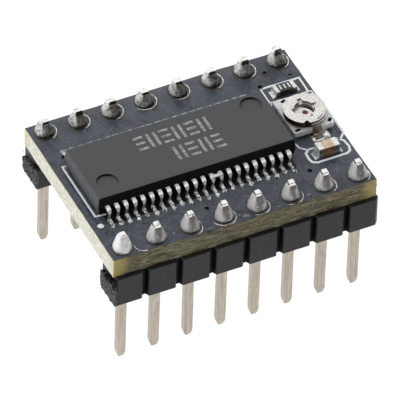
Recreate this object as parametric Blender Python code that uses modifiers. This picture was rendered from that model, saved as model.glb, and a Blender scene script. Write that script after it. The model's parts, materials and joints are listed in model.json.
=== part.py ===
"""Stepper driver module: a small plug-in carrier board with two pin headers below,
a gull-wing driver chip, a rotary trimmer and a few chip parts.

The model stands on its pin tips. The origin is on the plane of the tips, under the centre
of the board; +X runs along the board, +Y to its rear long edge, +Z up.
Lengths below are in millimetres; MM turns them into Blender's metres.
"""

import math

import bmesh
import bpy
from mathutils import Matrix, Vector

MM = 0.001
GAP = 0.01  # between solids that touch on the real module

# Heights
PIN_BELOW_HOUSING = 6.0
HOUSING_HEIGHT = 2.5
BOARD_THICKNESS = 1.6
HOUSING_BOTTOM = PIN_BELOW_HOUSING
BOARD_BOTTOM = HOUSING_BOTTOM + HOUSING_HEIGHT
BOARD_TOP = BOARD_BOTTOM + BOARD_THICKNESS

# Board
BOARD_LENGTH = 19.9
BOARD_WIDTH = 14.5
PIN_HOLE_RADIUS = 0.51
PIN_HOLE_SIDES = 16

# Headers: two rows of eight on the 0.1 inch grid
PITCH = 2.54
PIN_COUNT = 8
ROW_Y = 6.35
ROWS = {"front": -ROW_Y, "rear": ROW_Y}
PIN_SIDE = 0.64
PIN_LENGTH = 11.5
PIN_TAPER = 0.5
PIN_TIP_SIDE = 0.40
HOUSING_WIDTH = 2.38
NOTCH_DEPTH, NOTCH_OPENING, NOTCH_FLOOR = 0.36, 0.58, 0.20
HOUSING_END = 10.09  # the moulded right end, and the tip of the torn left end
END_CHAMFER = 0.24
TORN_END = 9.97  # the left end, where the strip was snapped from a longer one
TORN_WEB_WIDTH = 1.9

# Solder joints on the board top: (radius, height) of the turned fillet
SOLDER_PROFILE = [(0.50, 1.12), (0.55, 0.80), (0.66, 0.40), (0.80, 0.10), (0.86, 0.0)]
SOLDER_SIDES = 12

# Driver chip: 44 leads at 0.65 mm, with an exposed pad
IC_X, IC_Y = -1.62, -0.15
IC_LENGTH, IC_WIDTH = 15.0, 5.6
IC_STANDOFF, IC_TOP = 0.10, 1.60
IC_PARTING = 0.88
IC_DRAFT = 0.12
LEADS_PER_SIDE = 22
LEAD_PITCH = 0.65
LEAD_WIDTH = 0.25
LEAD_THICKNESS = 0.15
LEAD_SPAN = 7.7
LEAD_FOOT = 0.55
LEAD_SHOULDER = 0.36
LEAD_BAR = 0.5  # depth of the bar that stands for the lead frame inside the package
MARK_RADIUS = 0.82
MARK_DEPTH = 0.05
MARKS = [(-6.15, -1.36), (6.15, 1.62)]  # ejector marks, from the chip's centre
THERMAL_PAD = (8.0, 3.3, 0.15)
DIE = (3.4, 2.6, 0.30)

# Trimmer: an open rotor on a ceramic base that reaches further back than forward
TRIMMER_X, TRIMMER_Y = 7.93, 0.0  # the rotor's axis
TRIMMER_BASE = (3.05, 3.55)
TRIMMER_BASE_CENTRE = (8.02, 0.33)
TRIMMER_BASE_BOTTOM, TRIMMER_BASE_TOP = 0.15, 0.62
TRIMMER_CORNER = 0.15
EYELET_RADIUS, EYELET_BORE = 0.36, 0.18
EYELET_FLANGE_RADIUS, EYELET_FLANGE_HEIGHT = 0.58, 0.06
TRACK_INNER, TRACK_OUTER, TRACK_THICKNESS = 0.80, 1.25, 0.04
TRACK_GAP = math.radians(70)  # opening of the resistive track, towards the end terminals
ROTOR_RADIUS = 1.5
ROTOR_BOTTOM, ROTOR_TOP = 0.80, 1.30
ROTOR_DISH_RADIUS, ROTOR_DISH_FLOOR = 0.66, 0.92
ROTOR_BORE = 0.40
ROTOR_SLOT_WIDTH, ROTOR_SLOT_LENGTH, ROTOR_SLOT_DEPTH = 0.42, 1.84, 0.30
ROTOR_NOTCH_WIDTH, ROTOR_NOTCH_DEPTH = 0.90, 0.17
CONTACT_RADIUS, CONTACT_AT = 0.16, 1.02
ROUND_STEPS = 40
TERMINAL_THICKNESS = 0.12
WIPER_X, WIPER_WIDTH, WIPER_REACH = 8.22, 0.72, 0.62
END_TERMINAL_WIDTH, END_TERMINAL_REACH, END_TERMINAL_INSIDE = 0.70, 0.28, 0.7
END_TERMINAL_OFFSET = 1.12

# Chip parts: size (length, width, height) and the length of each metal end
SIZE_0603_R = (1.6, 0.8, 0.45)
SIZE_0603_C = (1.6, 0.8, 0.80)
SIZE_0805_C = (2.0, 1.25, 1.0)
SIZE_1206_R = (3.2, 1.6, 0.55)
SIZE_1206_C = (3.2, 1.6, 1.2)
END_SHARE = 0.22
END_STEP = 0.02  # how far the metal ends stand proud of the body
CHIP_STANDOFF = 0.02
TOP_CHIPS = {
    "resistor_top": (8.04, 3.32, SIZE_0603_R, 0),
    "capacitor_top": (8.00, -3.45, SIZE_0603_C, 0),
}
UNDERSIDE_CHIPS = {
    "sense_resistor_1": (-6.6, 2.5, SIZE_1206_R, 0),
    "sense_resistor_2": (-6.6, -2.5, SIZE_1206_R, 0),
    "supply_capacitor_1": (-1.4, 2.5, SIZE_1206_C, 0),
    "supply_capacitor_2": (-1.4, -2.5, SIZE_1206_C, 0),
    "charge_pump_capacitor": (2.4, 2.5, SIZE_0805_C, 90),
    "regulator_capacitor": (2.4, -2.5, SIZE_0805_C, 90),
    "bypass_capacitor": (4.7, 2.5, SIZE_0603_C, 90),
    "oscillator_capacitor": (4.7, -2.5, SIZE_0603_C, 90),
    "pull_up_resistor_1": (6.7, 2.5, SIZE_0603_R, 90),
    "pull_up_resistor_2": (6.7, -2.5, SIZE_0603_R, 90),
}

PARTS_COLLECTION = "stepper_driver_module"
CUTTERS_COLLECTION = "cutters"

# Base colour, roughness, metallic
FINISHES = {
    "solder_mask": ((0.045, 0.052, 0.068, 1), 0.45, 0.0),
    "header_plastic": ((0.022, 0.022, 0.023, 1), 0.55, 0.0),
    "plated_pin": ((0.62, 0.56, 0.47, 1), 0.28, 1.0),
    "solder": ((0.52, 0.52, 0.53, 1), 0.35, 1.0),
    "mould_compound": ((0.085, 0.087, 0.092, 1), 0.6, 0.0),
    "lead_frame": ((0.72, 0.72, 0.70, 1), 0.3, 1.0),
    "silicon": ((0.12, 0.13, 0.15, 1), 0.15, 0.0),
    "trimmer_ceramic": ((0.66, 0.65, 0.62, 1), 0.5, 0.0),
    "resistive_ink": ((0.02, 0.02, 0.02, 1), 0.7, 0.0),
    "rotor_metal": ((0.78, 0.75, 0.71, 1), 0.3, 1.0),
    "resistor_body": ((0.03, 0.03, 0.035, 1), 0.4, 0.0),
    "capacitor_body": ((0.52, 0.36, 0.20, 1), 0.45, 0.0),
}


# ---------------------------------------------------------------- helpers


def clear_scene():
    for obj in list(bpy.data.objects):
        bpy.data.objects.remove(obj, do_unlink=True)


def new_collection(name):
    collection = bpy.data.collections.new(name)
    bpy.context.scene.collection.children.link(collection)
    return collection


def finish_material(name, node_name):
    """A material of its own for each part, with the named finish."""
    colour, roughness, metallic = FINISHES[name]
    material = bpy.data.materials.new(f"{node_name}_{name}")
    material.use_nodes = True
    shader = material.node_tree.nodes["Principled BSDF"]
    shader.inputs["Base Color"].default_value = colour
    shader.inputs["Roughness"].default_value = roughness
    shader.inputs["Metallic"].default_value = metallic
    material.diffuse_color = colour
    return material


def add_part(obj, finish):
    """Puts a finished shape in the parts collection with its material."""
    for collection in list(obj.users_collection):
        collection.objects.unlink(obj)
    bpy.data.collections[PARTS_COLLECTION].objects.link(obj)
    obj.data.materials.clear()
    obj.data.materials.append(finish_material(finish, obj.name))
    return obj


def add_cutter(obj):
    for collection in list(obj.users_collection):
        collection.objects.unlink(obj)
    bpy.data.collections[CUTTERS_COLLECTION].objects.link(obj)
    obj.hide_render = True
    obj.display_type = "WIRE"
    return obj


def object_from_bmesh(name, mesh_data):
    mesh = bpy.data.meshes.new(name)
    mesh_data.to_mesh(mesh)
    mesh_data.free()
    obj = bpy.data.objects.new(name, mesh)
    bpy.context.scene.collection.objects.link(obj)
    return obj


def box(name, size, centre):
    """A box of the given size about a centre."""
    cube = bmesh.new()
    bmesh.ops.create_cube(cube, size=1)
    bmesh.ops.scale(cube, vec=Vector(size) * MM, verts=cube.verts)
    bmesh.ops.translate(cube, vec=Vector(centre) * MM, verts=cube.verts)
    return object_from_bmesh(name, cube)


def cylinder(name, radius, height, centre, sides):
    drum = bmesh.new()
    bmesh.ops.create_cone(
        drum,
        cap_ends=True,
        segments=sides,
        radius1=radius * MM,
        radius2=radius * MM,
        depth=height * MM,
    )
    bmesh.ops.translate(drum, vec=Vector(centre) * MM, verts=drum.verts)
    return object_from_bmesh(name, drum)


def turned(name, profile, centre, steps, ring=False):
    """Turns (radius, height) points about the local Z axis.

    The profile runs down the outer side. A ring's profile is closed on itself;
    any other is closed by two points on the axis.
    """
    points = list(profile)
    if not ring:
        points = [(0.0, profile[0][1])] + points + [(0.0, profile[-1][1])]
    line = bmesh.new()
    made = [line.verts.new((r * MM, 0, z * MM)) for r, z in points]
    for first, second in zip(made, made[1:]):
        line.edges.new((first, second))
    if ring:
        line.edges.new((made[-1], made[0]))
    obj = object_from_bmesh(name, line)
    obj.location = Vector(centre) * MM
    screw = obj.modifiers.new("turn", "SCREW")
    screw.axis = "Z"
    screw.steps = steps
    screw.render_steps = steps
    screw.use_merge_vertices = True
    screw.merge_threshold = 1e-6
    return obj


def plate(name, outlines, thickness, matrix):
    """A flat plate, with a hole for every outline after the first.

    The outlines are in the local XY plane and the plate is centred on it.
    """
    curve = bpy.data.curves.new(name, "CURVE")
    curve.dimensions = "2D"
    curve.fill_mode = "BOTH"
    curve.extrude = thickness * MM / 2
    for outline in outlines:
        spline = curve.splines.new("POLY")
        spline.points.add(len(outline) - 1)
        for point, (x, y) in zip(spline.points, outline):
            point.co = (x * MM, y * MM, 0, 1)
        spline.use_cyclic_u = True
    guide = bpy.data.objects.new(name + "_outline", curve)
    bpy.context.scene.collection.objects.link(guide)
    bpy.context.view_layer.update()
    graph = bpy.context.evaluated_depsgraph_get()
    mesh = bpy.data.meshes.new_from_object(guide.evaluated_get(graph))
    bpy.data.objects.remove(guide, do_unlink=True)
    body = bmesh.new()
    body.from_mesh(mesh)
    bmesh.ops.remove_doubles(body, verts=body.verts, dist=1e-7)
    bmesh.ops.recalc_face_normals(body, faces=body.faces)
    bpy.data.meshes.remove(mesh)
    obj = object_from_bmesh(name, body)
    obj.data.transform(matrix)
    return obj


def boolean(obj, other, operation):
    modifier = obj.modifiers.new(other.name, "BOOLEAN")
    modifier.operation = operation
    modifier.solver = "EXACT"
    modifier.object = add_cutter(other)


def circle(radius, centre, sides):
    turn = 2 * math.pi / sides
    x, y = centre
    return [
        (x + radius * math.cos(turn * i), y + radius * math.sin(turn * i))
        for i in range(sides)
    ]


def rectangle(size, centre):
    dx, dy = size[0] / 2, size[1] / 2
    x, y = centre
    return [(x - dx, y - dy), (x + dx, y - dy), (x + dx, y + dy), (x - dx, y + dy)]


def shift(x, y, z):
    return Matrix.Translation(Vector((x, y, z)) * MM)


def pin_positions():
    """(index from 1, x) of each pin of a row."""
    first = -PITCH * (PIN_COUNT - 1) / 2
    return [(i + 1, first + PITCH * i) for i in range(PIN_COUNT)]


# ---------------------------------------------------------------- board and headers


def make_board():
    outlines = [rectangle((BOARD_LENGTH, BOARD_WIDTH), (0, 0))]
    for row_y in ROWS.values():
        for _, x in pin_positions():
            outlines.append(circle(PIN_HOLE_RADIUS, (x, row_y), PIN_HOLE_SIDES))
    middle = BOARD_BOTTOM + BOARD_THICKNESS / 2
    add_part(plate("pcb", outlines, BOARD_THICKNESS, shift(0, 0, middle)), "solder_mask")


def housing_side(direction):
    """Points of one long side of a housing, left to right, with a notch between cells."""
    outer = direction * HOUSING_WIDTH / 2
    inner = outer - direction * NOTCH_DEPTH
    points = [(-TORN_END, outer)]
    for _, x in pin_positions()[1:]:
        notch = x - PITCH / 2
        points += [
            (notch - NOTCH_OPENING / 2, outer),
            (notch - NOTCH_FLOOR / 2, inner),
            (notch + NOTCH_FLOOR / 2, inner),
            (notch + NOTCH_OPENING / 2, outer),
        ]
    points += [(HOUSING_END - END_CHAMFER, outer), (HOUSING_END, outer - direction * END_CHAMFER)]
    return points


def housing_outline():
    """Plan of a header strip: moulded on the right, snapped off on the left."""
    web = TORN_WEB_WIDTH / 2
    torn_web = [(-TORN_END, web), (-HOUSING_END, web), (-HOUSING_END, -web), (-TORN_END, -web)]
    return housing_side(-1) + housing_side(1)[::-1] + torn_web


def make_housing(row, row_y):
    side = PIN_SIDE + 2 * GAP
    holes = [rectangle((side, side), (x, 0)) for _, x in pin_positions()]
    height = HOUSING_HEIGHT - GAP
    place = shift(0, row_y, HOUSING_BOTTOM + height / 2)
    housing = plate(f"header_{row}", [housing_outline()] + holes, height, place)
    add_part(housing, "header_plastic")


def square_bar(name, sections, centre):
    """A square bar from (side, height) sections listed from the top down."""
    profile = [(side / math.sqrt(2), z) for side, z in sections]
    bar = turned(name, profile, centre, 4)
    bar.rotation_euler.z = math.radians(45)
    return bar


def make_pin(row, number, x, row_y):
    sections = [
        (PIN_TIP_SIDE, PIN_LENGTH),
        (PIN_SIDE, PIN_LENGTH - PIN_TAPER),
        (PIN_SIDE, PIN_TAPER),
        (PIN_TIP_SIDE, 0.0),
    ]
    add_part(square_bar(f"pin_{row}_{number}", sections, (x, row_y, 0)), "plated_pin")


def make_solder(row, number, x, row_y):
    name = f"solder_{row}_{number}"
    joint = turned(name, SOLDER_PROFILE, (x, row_y, BOARD_TOP + GAP), SOLDER_SIDES)
    side = PIN_SIDE + 2 * GAP
    height = 4 * SOLDER_PROFILE[0][1]
    hole = box(name + "_hole", (side, side, height), (x, row_y, BOARD_TOP))
    boolean(joint, hole, "DIFFERENCE")
    add_part(joint, "solder")


def make_headers():
    for row, row_y in ROWS.items():
        make_housing(row, row_y)
        for number, x in pin_positions():
            make_pin(row, number, x, row_y)
            make_solder(row, number, x, row_y)


# ---------------------------------------------------------------- driver chip


def drafted_box(name, size, bottom, parting, top, draft, centre):
    """A moulded body: widest at its parting plane, drawn in towards both faces."""
    length, width = size
    body = bmesh.new()
    bmesh.ops.create_cube(body, size=1)
    bmesh.ops.scale(body, vec=Vector((length, width, top - bottom)) * MM, verts=body.verts)
    bmesh.ops.translate(body, vec=Vector((0, 0, (top + bottom) / 2)) * MM, verts=body.verts)
    plane = Vector((0, 0, parting)) * MM
    everything = body.verts[:] + body.edges[:] + body.faces[:]
    bmesh.ops.bisect_plane(body, geom=everything, plane_co=plane, plane_no=(0, 0, 1))
    for height in (bottom, top):
        ring = [v for v in body.verts if abs(v.co.z - height * MM) < GAP * MM]
        shrink = Vector((1 - 2 * draft / length, 1 - 2 * draft / width, 1))
        bmesh.ops.scale(body, vec=shrink, verts=ring)
    obj = object_from_bmesh(name, body)
    obj.data.transform(shift(*centre))
    return obj


def make_package():
    package = drafted_box(
        "ic_package",
        (IC_LENGTH, IC_WIDTH),
        IC_STANDOFF,
        IC_PARTING,
        IC_TOP,
        IC_DRAFT,
        (IC_X, IC_Y, BOARD_TOP),
    )
    slot_height = LEAD_THICKNESS + 2 * GAP
    slot_length = LEAD_PITCH * LEADS_PER_SIDE + 2 * GAP
    for side in (-1, 1):
        y = IC_Y + side * IC_WIDTH / 2
        size = (slot_length, 2 * (LEAD_BAR + GAP), slot_height)
        slot = box("lead_slot", size, (IC_X, y, BOARD_TOP + IC_PARTING))
        boolean(package, slot, "DIFFERENCE")
    pad_length, pad_width, pad_height = (v + 2 * GAP for v in THERMAL_PAD)
    pocket_top = IC_STANDOFF + pad_height
    size = (pad_length, pad_width, 2 * pad_height)
    pocket = box("pad_pocket", size, (IC_X, IC_Y, BOARD_TOP + pocket_top - pad_height))
    boolean(package, pocket, "DIFFERENCE")
    die_length, die_width, die_height = (v + 2 * GAP for v in DIE)
    size = (die_length, die_width, 2 * die_height)
    cavity = box("die_cavity", size, (IC_X, IC_Y, BOARD_TOP + pocket_top))
    boolean(package, cavity, "DIFFERENCE")
    for dx, dy in MARKS:
        centre = (IC_X + dx, IC_Y + dy, BOARD_TOP + IC_TOP)
        mark = cylinder("ejector_mark", MARK_RADIUS, 2 * MARK_DEPTH, centre, ROUND_STEPS)
        boolean(package, mark, "DIFFERENCE")
    add_part(package, "mould_compound")


def make_pad_and_die():
    pad_centre = BOARD_TOP + IC_STANDOFF + THERMAL_PAD[2] / 2
    pad = box("ic_thermal_pad", THERMAL_PAD, (IC_X, IC_Y, pad_centre))
    add_part(pad, "lead_frame")
    die_centre = BOARD_TOP + IC_STANDOFF + THERMAL_PAD[2] + GAP + DIE[2] / 2
    add_part(box("ic_die", DIE, (IC_X, IC_Y, die_centre)), "silicon")


def lead_outline():
    """Side view of one gull-wing lead, as (distance from the chip's centre, height)."""
    start = IC_WIDTH / 2 - LEAD_BAR / 2
    bend = IC_WIDTH / 2 + LEAD_SHOULDER
    toe = LEAD_SPAN / 2
    heel = toe - LEAD_FOOT
    upper = IC_PARTING + LEAD_THICKNESS / 2
    lower = IC_PARTING - LEAD_THICKNESS / 2
    foot = GAP + LEAD_THICKNESS
    return [
        (start, upper),
        (bend, upper),
        (heel + LEAD_THICKNESS, foot),
        (toe, foot),
        (toe, GAP),
        (heel, GAP),
        (bend - LEAD_THICKNESS, lower),
        (start, lower),
    ]


def make_leads(row, side):
    """One row of leads, joined inside the package by the lead frame's bar."""
    bar_length = LEAD_PITCH * LEADS_PER_SIDE
    y = IC_Y + side * (IC_WIDTH / 2 - LEAD_BAR / 2)
    size = (bar_length, LEAD_BAR, LEAD_THICKNESS)
    bar = box(f"ic_leads_{row}", size, (IC_X, y, BOARD_TOP + IC_PARTING))
    outline = [(side * distance, height) for distance, height in lead_outline()]
    upright = Matrix.Rotation(math.radians(90), 4, "Z") @ Matrix.Rotation(math.radians(90), 4, "X")
    one = plate("lead", [outline], LEAD_WIDTH, upright)
    every = bmesh.new()
    first = IC_X - LEAD_PITCH * (LEADS_PER_SIDE - 1) / 2
    for i in range(LEADS_PER_SIDE):
        placed = one.data.copy()
        placed.transform(shift(first + LEAD_PITCH * i, IC_Y, BOARD_TOP))
        every.from_mesh(placed)
        bpy.data.meshes.remove(placed)
    bpy.data.objects.remove(one, do_unlink=True)
    bmesh.ops.recalc_face_normals(every, faces=every.faces)
    boolean(bar, object_from_bmesh(f"lead_set_{row}", every), "UNION")
    add_part(bar, "lead_frame")


# ---------------------------------------------------------------- trimmer


def trimmer_base_outline():
    """Plan of the base about the rotor's axis: a rectangle with its corners cut off."""
    half_x, half_y = TRIMMER_BASE[0] / 2, TRIMMER_BASE[1] / 2
    cut = TRIMMER_CORNER
    quarter = [(half_x, half_y - cut), (half_x - cut, half_y)]
    left_top = [(-x, y) for x, y in quarter[::-1]]
    bottom = [(-x, -y) for x, y in quarter + left_top]
    dx = TRIMMER_BASE_CENTRE[0] - TRIMMER_X
    dy = TRIMMER_BASE_CENTRE[1] - TRIMMER_Y
    return [(x + dx, y + dy) for x, y in quarter + left_top + bottom]


def make_trimmer_base():
    hole = circle(EYELET_RADIUS + GAP, (0, 0), ROUND_STEPS)
    height = TRIMMER_BASE_TOP - TRIMMER_BASE_BOTTOM
    place = shift(TRIMMER_X, TRIMMER_Y, BOARD_TOP + TRIMMER_BASE_BOTTOM + height / 2)
    base = plate("trimmer_base", [trimmer_base_outline(), hole], height, place)
    add_part(base, "trimmer_ceramic")


def track_outline():
    """A C-shaped band that opens to the rear."""
    start = math.pi / 2 + TRACK_GAP / 2
    sweep = 2 * math.pi - TRACK_GAP
    angles = [start + sweep * i / ROUND_STEPS for i in range(ROUND_STEPS + 1)]
    outer = [(TRACK_OUTER * math.cos(a), TRACK_OUTER * math.sin(a)) for a in angles]
    inner = [(TRACK_INNER * math.cos(a), TRACK_INNER * math.sin(a)) for a in angles[::-1]]
    return outer + inner


def make_track():
    middle = TRIMMER_BASE_TOP + GAP + TRACK_THICKNESS / 2
    place = shift(TRIMMER_X, TRIMMER_Y, BOARD_TOP + middle)
    add_part(plate("trimmer_track", [track_outline()], TRACK_THICKNESS, place), "resistive_ink")


def make_rotor():
    """The screwdriver-set disc, its origin on its axis. Its contact bump faces the track."""
    rim_chamfer = 0.08
    profile = [
        (ROTOR_BORE, ROTOR_DISH_FLOOR),
        (ROTOR_DISH_RADIUS, ROTOR_DISH_FLOOR),
        (ROTOR_DISH_RADIUS + rim_chamfer, ROTOR_TOP),
        (ROTOR_RADIUS - rim_chamfer, ROTOR_TOP),
        (ROTOR_RADIUS, ROTOR_TOP - rim_chamfer),
        (ROTOR_RADIUS, ROTOR_BOTTOM),
        (ROTOR_BORE, ROTOR_BOTTOM),
    ]
    axis = (TRIMMER_X, TRIMMER_Y, BOARD_TOP)
    rotor = turned("trimmer_rotor", profile, axis, ROUND_STEPS, ring=True)
    for number, size in enumerate(
        ((ROTOR_SLOT_LENGTH, ROTOR_SLOT_WIDTH), (ROTOR_SLOT_WIDTH, ROTOR_SLOT_LENGTH))
    ):
        centre = (TRIMMER_X, TRIMMER_Y, BOARD_TOP + ROTOR_TOP)
        slot = box(f"rotor_slot_{number}", (*size, 2 * ROTOR_SLOT_DEPTH), centre)
        boolean(rotor, slot, "DIFFERENCE")
    notch_centre = (TRIMMER_X, TRIMMER_Y - ROTOR_RADIUS, BOARD_TOP + ROTOR_TOP)
    notch_height = 4 * (ROTOR_TOP - ROTOR_BOTTOM)
    notch_size = (ROTOR_NOTCH_WIDTH, 2 * ROTOR_NOTCH_DEPTH, notch_height)
    boolean(rotor, box("rotor_notch", notch_size, notch_centre), "DIFFERENCE")
    contact_foot = TRIMMER_BASE_TOP + GAP + TRACK_THICKNESS + GAP
    contact_height = ROTOR_BOTTOM - contact_foot
    centre_z = BOARD_TOP + contact_foot + contact_height
    centre = (TRIMMER_X, TRIMMER_Y - CONTACT_AT, centre_z)
    contact = cylinder("rotor_contact", CONTACT_RADIUS, 2 * contact_height, centre, 12)
    boolean(rotor, contact, "UNION")
    add_part(rotor, "rotor_metal")


def make_eyelet():
    flange_top = ROTOR_DISH_FLOOR + GAP + EYELET_FLANGE_HEIGHT
    foot = TRIMMER_BASE_BOTTOM + GAP
    profile = [
        (EYELET_BORE, flange_top),
        (EYELET_FLANGE_RADIUS, flange_top),
        (EYELET_FLANGE_RADIUS, ROTOR_DISH_FLOOR + GAP),
        (EYELET_RADIUS, ROTOR_DISH_FLOOR + GAP),
        (EYELET_RADIUS, foot),
        (EYELET_BORE, foot),
    ]
    centre = (TRIMMER_X, TRIMMER_Y, BOARD_TOP)
    add_part(turned("trimmer_eyelet", profile, centre, 24, ring=True), "lead_frame")


def terminal(name, outline, width, x):
    """A bent strip: its side view in Y and Z, extruded along X."""
    upright = Matrix.Rotation(math.radians(90), 4, "Z") @ Matrix.Rotation(math.radians(90), 4, "X")
    strip = plate(name, [outline], width, upright)
    strip.data.transform(shift(x, 0, BOARD_TOP))
    add_part(strip, "lead_frame")


def terminal_outline(inside, direction, reach, top):
    """Side view of a strip under the base, up one side face and out to a foot.

    It starts at Y = inside and leaves the base in the given direction along Y.
    """
    face = TRIMMER_BASE_CENTRE[1] + direction * (TRIMMER_BASE[1] / 2 + GAP)
    outside = face + direction * TERMINAL_THICKNESS
    toe = face + direction * reach
    low, high = GAP, GAP + TERMINAL_THICKNESS
    return [
        (inside, low),
        (toe, low),
        (toe, high),
        (outside, high),
        (outside, top),
        (face, top),
        (face, high),
        (inside, high),
    ]


def make_trimmer():
    make_trimmer_base()
    make_track()
    make_rotor()
    make_eyelet()
    wiper = terminal_outline(TRIMMER_Y, -1, WIPER_REACH, TRIMMER_BASE_TOP)
    terminal("trimmer_wiper_terminal", wiper, WIPER_WIDTH, WIPER_X)
    rear_face = TRIMMER_BASE_CENTRE[1] + TRIMMER_BASE[1] / 2
    end_top = TRIMMER_BASE_TOP - 0.1
    end = terminal_outline(rear_face - END_TERMINAL_INSIDE, 1, END_TERMINAL_REACH, end_top)
    for side, offset in (("left", -END_TERMINAL_OFFSET), ("right", END_TERMINAL_OFFSET)):
        x = TRIMMER_BASE_CENTRE[0] + offset
        terminal(f"trimmer_end_terminal_{side}", end, END_TERMINAL_WIDTH, x)


# ---------------------------------------------------------------- chip parts


def chip(name, x, y, size, turn, base, direction, finish):
    """A chip part with two metal ends. direction is +1 on the board's top, -1 below it."""
    length, width, height = size
    middle = base + direction * (CHIP_STANDOFF + END_STEP + height / 2)
    place = shift(x, y, middle) @ Matrix.Rotation(math.radians(turn), 4, "Z")
    body = box(name, (length - 2 * END_STEP, width, height), (0, 0, 0))
    body.data.transform(place)
    end_length = length * END_SHARE
    for side in (-1, 1):
        end_size = (end_length, width + 2 * END_STEP, height + 2 * END_STEP)
        end_centre = (side * (length - end_length) / 2, 0, 0)
        end = box(name + "_end", end_size, end_centre)
        end.data.transform(place)
        boolean(body, end, "UNION")
    add_part(body, finish)


def make_chips():
    for names, base, direction in (
        (TOP_CHIPS, BOARD_TOP, 1),
        (UNDERSIDE_CHIPS, BOARD_BOTTOM, -1),
    ):
        for name, (x, y, size, turn) in names.items():
            finish = "capacitor_body" if "capacitor" in name else "resistor_body"
            chip(name, x, y, size, turn, base, direction, finish)


def main():
    clear_scene()
    new_collection(PARTS_COLLECTION)
    new_collection(CUTTERS_COLLECTION)
    make_board()
    make_headers()
    make_package()
    make_pad_and_die()
    make_leads("front", -1)
    make_leads("rear", 1)
    make_trimmer()
    make_chips()


main()
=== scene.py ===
"""Looks for the stepper driver module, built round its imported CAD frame.

Lengths in this file are millimetres unless a name says otherwise; MM turns them into metres.
Heights are in the frame's own axes: the pin tips stand at Z = 0.
"""

import json
import math
import random

import bmesh
import bpy
from mathutils import Matrix, Vector, noise


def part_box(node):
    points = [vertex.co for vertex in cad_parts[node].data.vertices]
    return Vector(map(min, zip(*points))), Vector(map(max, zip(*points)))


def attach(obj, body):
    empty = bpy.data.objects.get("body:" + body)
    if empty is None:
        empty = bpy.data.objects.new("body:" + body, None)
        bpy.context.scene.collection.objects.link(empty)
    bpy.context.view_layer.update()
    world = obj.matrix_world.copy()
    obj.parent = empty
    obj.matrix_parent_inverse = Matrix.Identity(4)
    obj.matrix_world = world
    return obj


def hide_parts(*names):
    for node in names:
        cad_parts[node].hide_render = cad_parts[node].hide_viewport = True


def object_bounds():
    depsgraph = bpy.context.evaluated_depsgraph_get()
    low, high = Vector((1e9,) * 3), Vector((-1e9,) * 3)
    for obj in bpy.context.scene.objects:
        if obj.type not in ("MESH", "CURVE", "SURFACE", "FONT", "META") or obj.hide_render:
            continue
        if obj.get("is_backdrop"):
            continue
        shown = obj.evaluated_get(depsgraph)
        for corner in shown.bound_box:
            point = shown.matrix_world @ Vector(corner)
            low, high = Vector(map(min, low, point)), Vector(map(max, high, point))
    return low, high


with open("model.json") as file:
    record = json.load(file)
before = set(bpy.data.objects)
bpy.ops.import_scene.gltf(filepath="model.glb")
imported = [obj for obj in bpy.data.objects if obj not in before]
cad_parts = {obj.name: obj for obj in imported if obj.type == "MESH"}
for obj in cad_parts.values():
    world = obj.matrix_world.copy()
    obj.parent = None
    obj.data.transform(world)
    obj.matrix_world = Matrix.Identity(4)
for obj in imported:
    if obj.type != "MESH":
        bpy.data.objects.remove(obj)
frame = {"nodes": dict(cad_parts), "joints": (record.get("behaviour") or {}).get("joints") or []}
cad_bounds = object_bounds()

MM = 0.001
SCENE = bpy.context.scene


def plain(value):
    if isinstance(value, (int, float)):
        return float(value)
    return [plain(item) for item in value]


def mm_box(node):
    low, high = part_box(node)
    return [c / MM for c in low], [c / MM for c in high]


def middle(low, high):
    """The centre of a box's plan."""
    return (low[0] + high[0]) / 2, (low[1] + high[1]) / 2


# Heights and rows, read from the frame
board_low, board_high = mm_box("pcb")
BOTTOM, TOP = board_low[2], board_high[2]
BOARD_X, BOARD_Y = board_high[0], board_high[1]
TRIM_X, TRIM_Y = (c / MM for c in frame["joints"][0]["pos_m"][:2])
PIN_ROWS = {"front": -6.35, "rear": 6.35}
PITCH = 2.54
PIN_COUNT = 8


def pin_x(number):
    return (number - (PIN_COUNT - 1) / 2) * PITCH


# ---------------------------------------------------------------- mesh helpers


def finish_object(name, bm, material, body="board", smooth=35):
    """Turns a bmesh in millimetres into a named object that rides on a body."""
    bmesh.ops.recalc_face_normals(bm, faces=bm.faces)
    bmesh.ops.scale(bm, vec=(MM, MM, MM), verts=bm.verts)
    mesh = bpy.data.meshes.new(name)
    bm.to_mesh(mesh)
    bm.free()
    smooth_below(mesh, smooth)
    mesh.materials.append(material)
    obj = bpy.data.objects.new(name, mesh)
    SCENE.collection.objects.link(obj)
    if body:
        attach(obj, body)
    return obj


def smooth_below(mesh, angle):
    """Smooth shading, with sharp edges where faces meet at more than some degrees."""
    for polygon in mesh.polygons:
        polygon.use_smooth = True
    mesh.set_sharp_from_angle(angle=math.radians(angle))


def add_piece(name, bm, material, slot, node=None, **finish):
    """Finishes a piece and hides the CAD node it stands for; the slot is not used."""
    obj = finish_object(name, bm, material, **finish)
    if node:
        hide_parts(node)


def add_loft(bm, rings, closed=False):
    """Skins a row of rings (each a list of points) with quads, and caps its ends unless closed."""
    rows = [[bm.verts.new(p) for p in ring] for ring in rings]
    count = len(rows[0])
    for a, b in list(zip(rows, rows[1:])) + ([(rows[-1], rows[0])] if closed else []):
        for i in range(count):
            j = (i + 1) % count
            bm.faces.new((a[i], a[j], b[j], b[i]))
    if not closed:
        bm.faces.new(rows[0][::-1])
        bm.faces.new(rows[-1])


def loft(rings, closed=False):
    """A new bmesh that holds one loft."""
    bm = bmesh.new()
    add_loft(bm, rings, closed)
    return bm


def spokes(count):
    """(angle, cosine, sine) at even steps round a full turn."""
    angles = [2 * math.pi * i / count for i in range(count)]
    return [(angle, math.cos(angle), math.sin(angle)) for angle in angles]


def sweep(start, end, steps):
    """(share, cosine, sine) at even steps from one angle to another; angles in degrees."""
    angles = [math.radians(start + (end - start) * i / steps) for i in range(steps + 1)]
    return [(i / steps, math.cos(angle), math.sin(angle)) for i, angle in enumerate(angles)]


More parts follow.
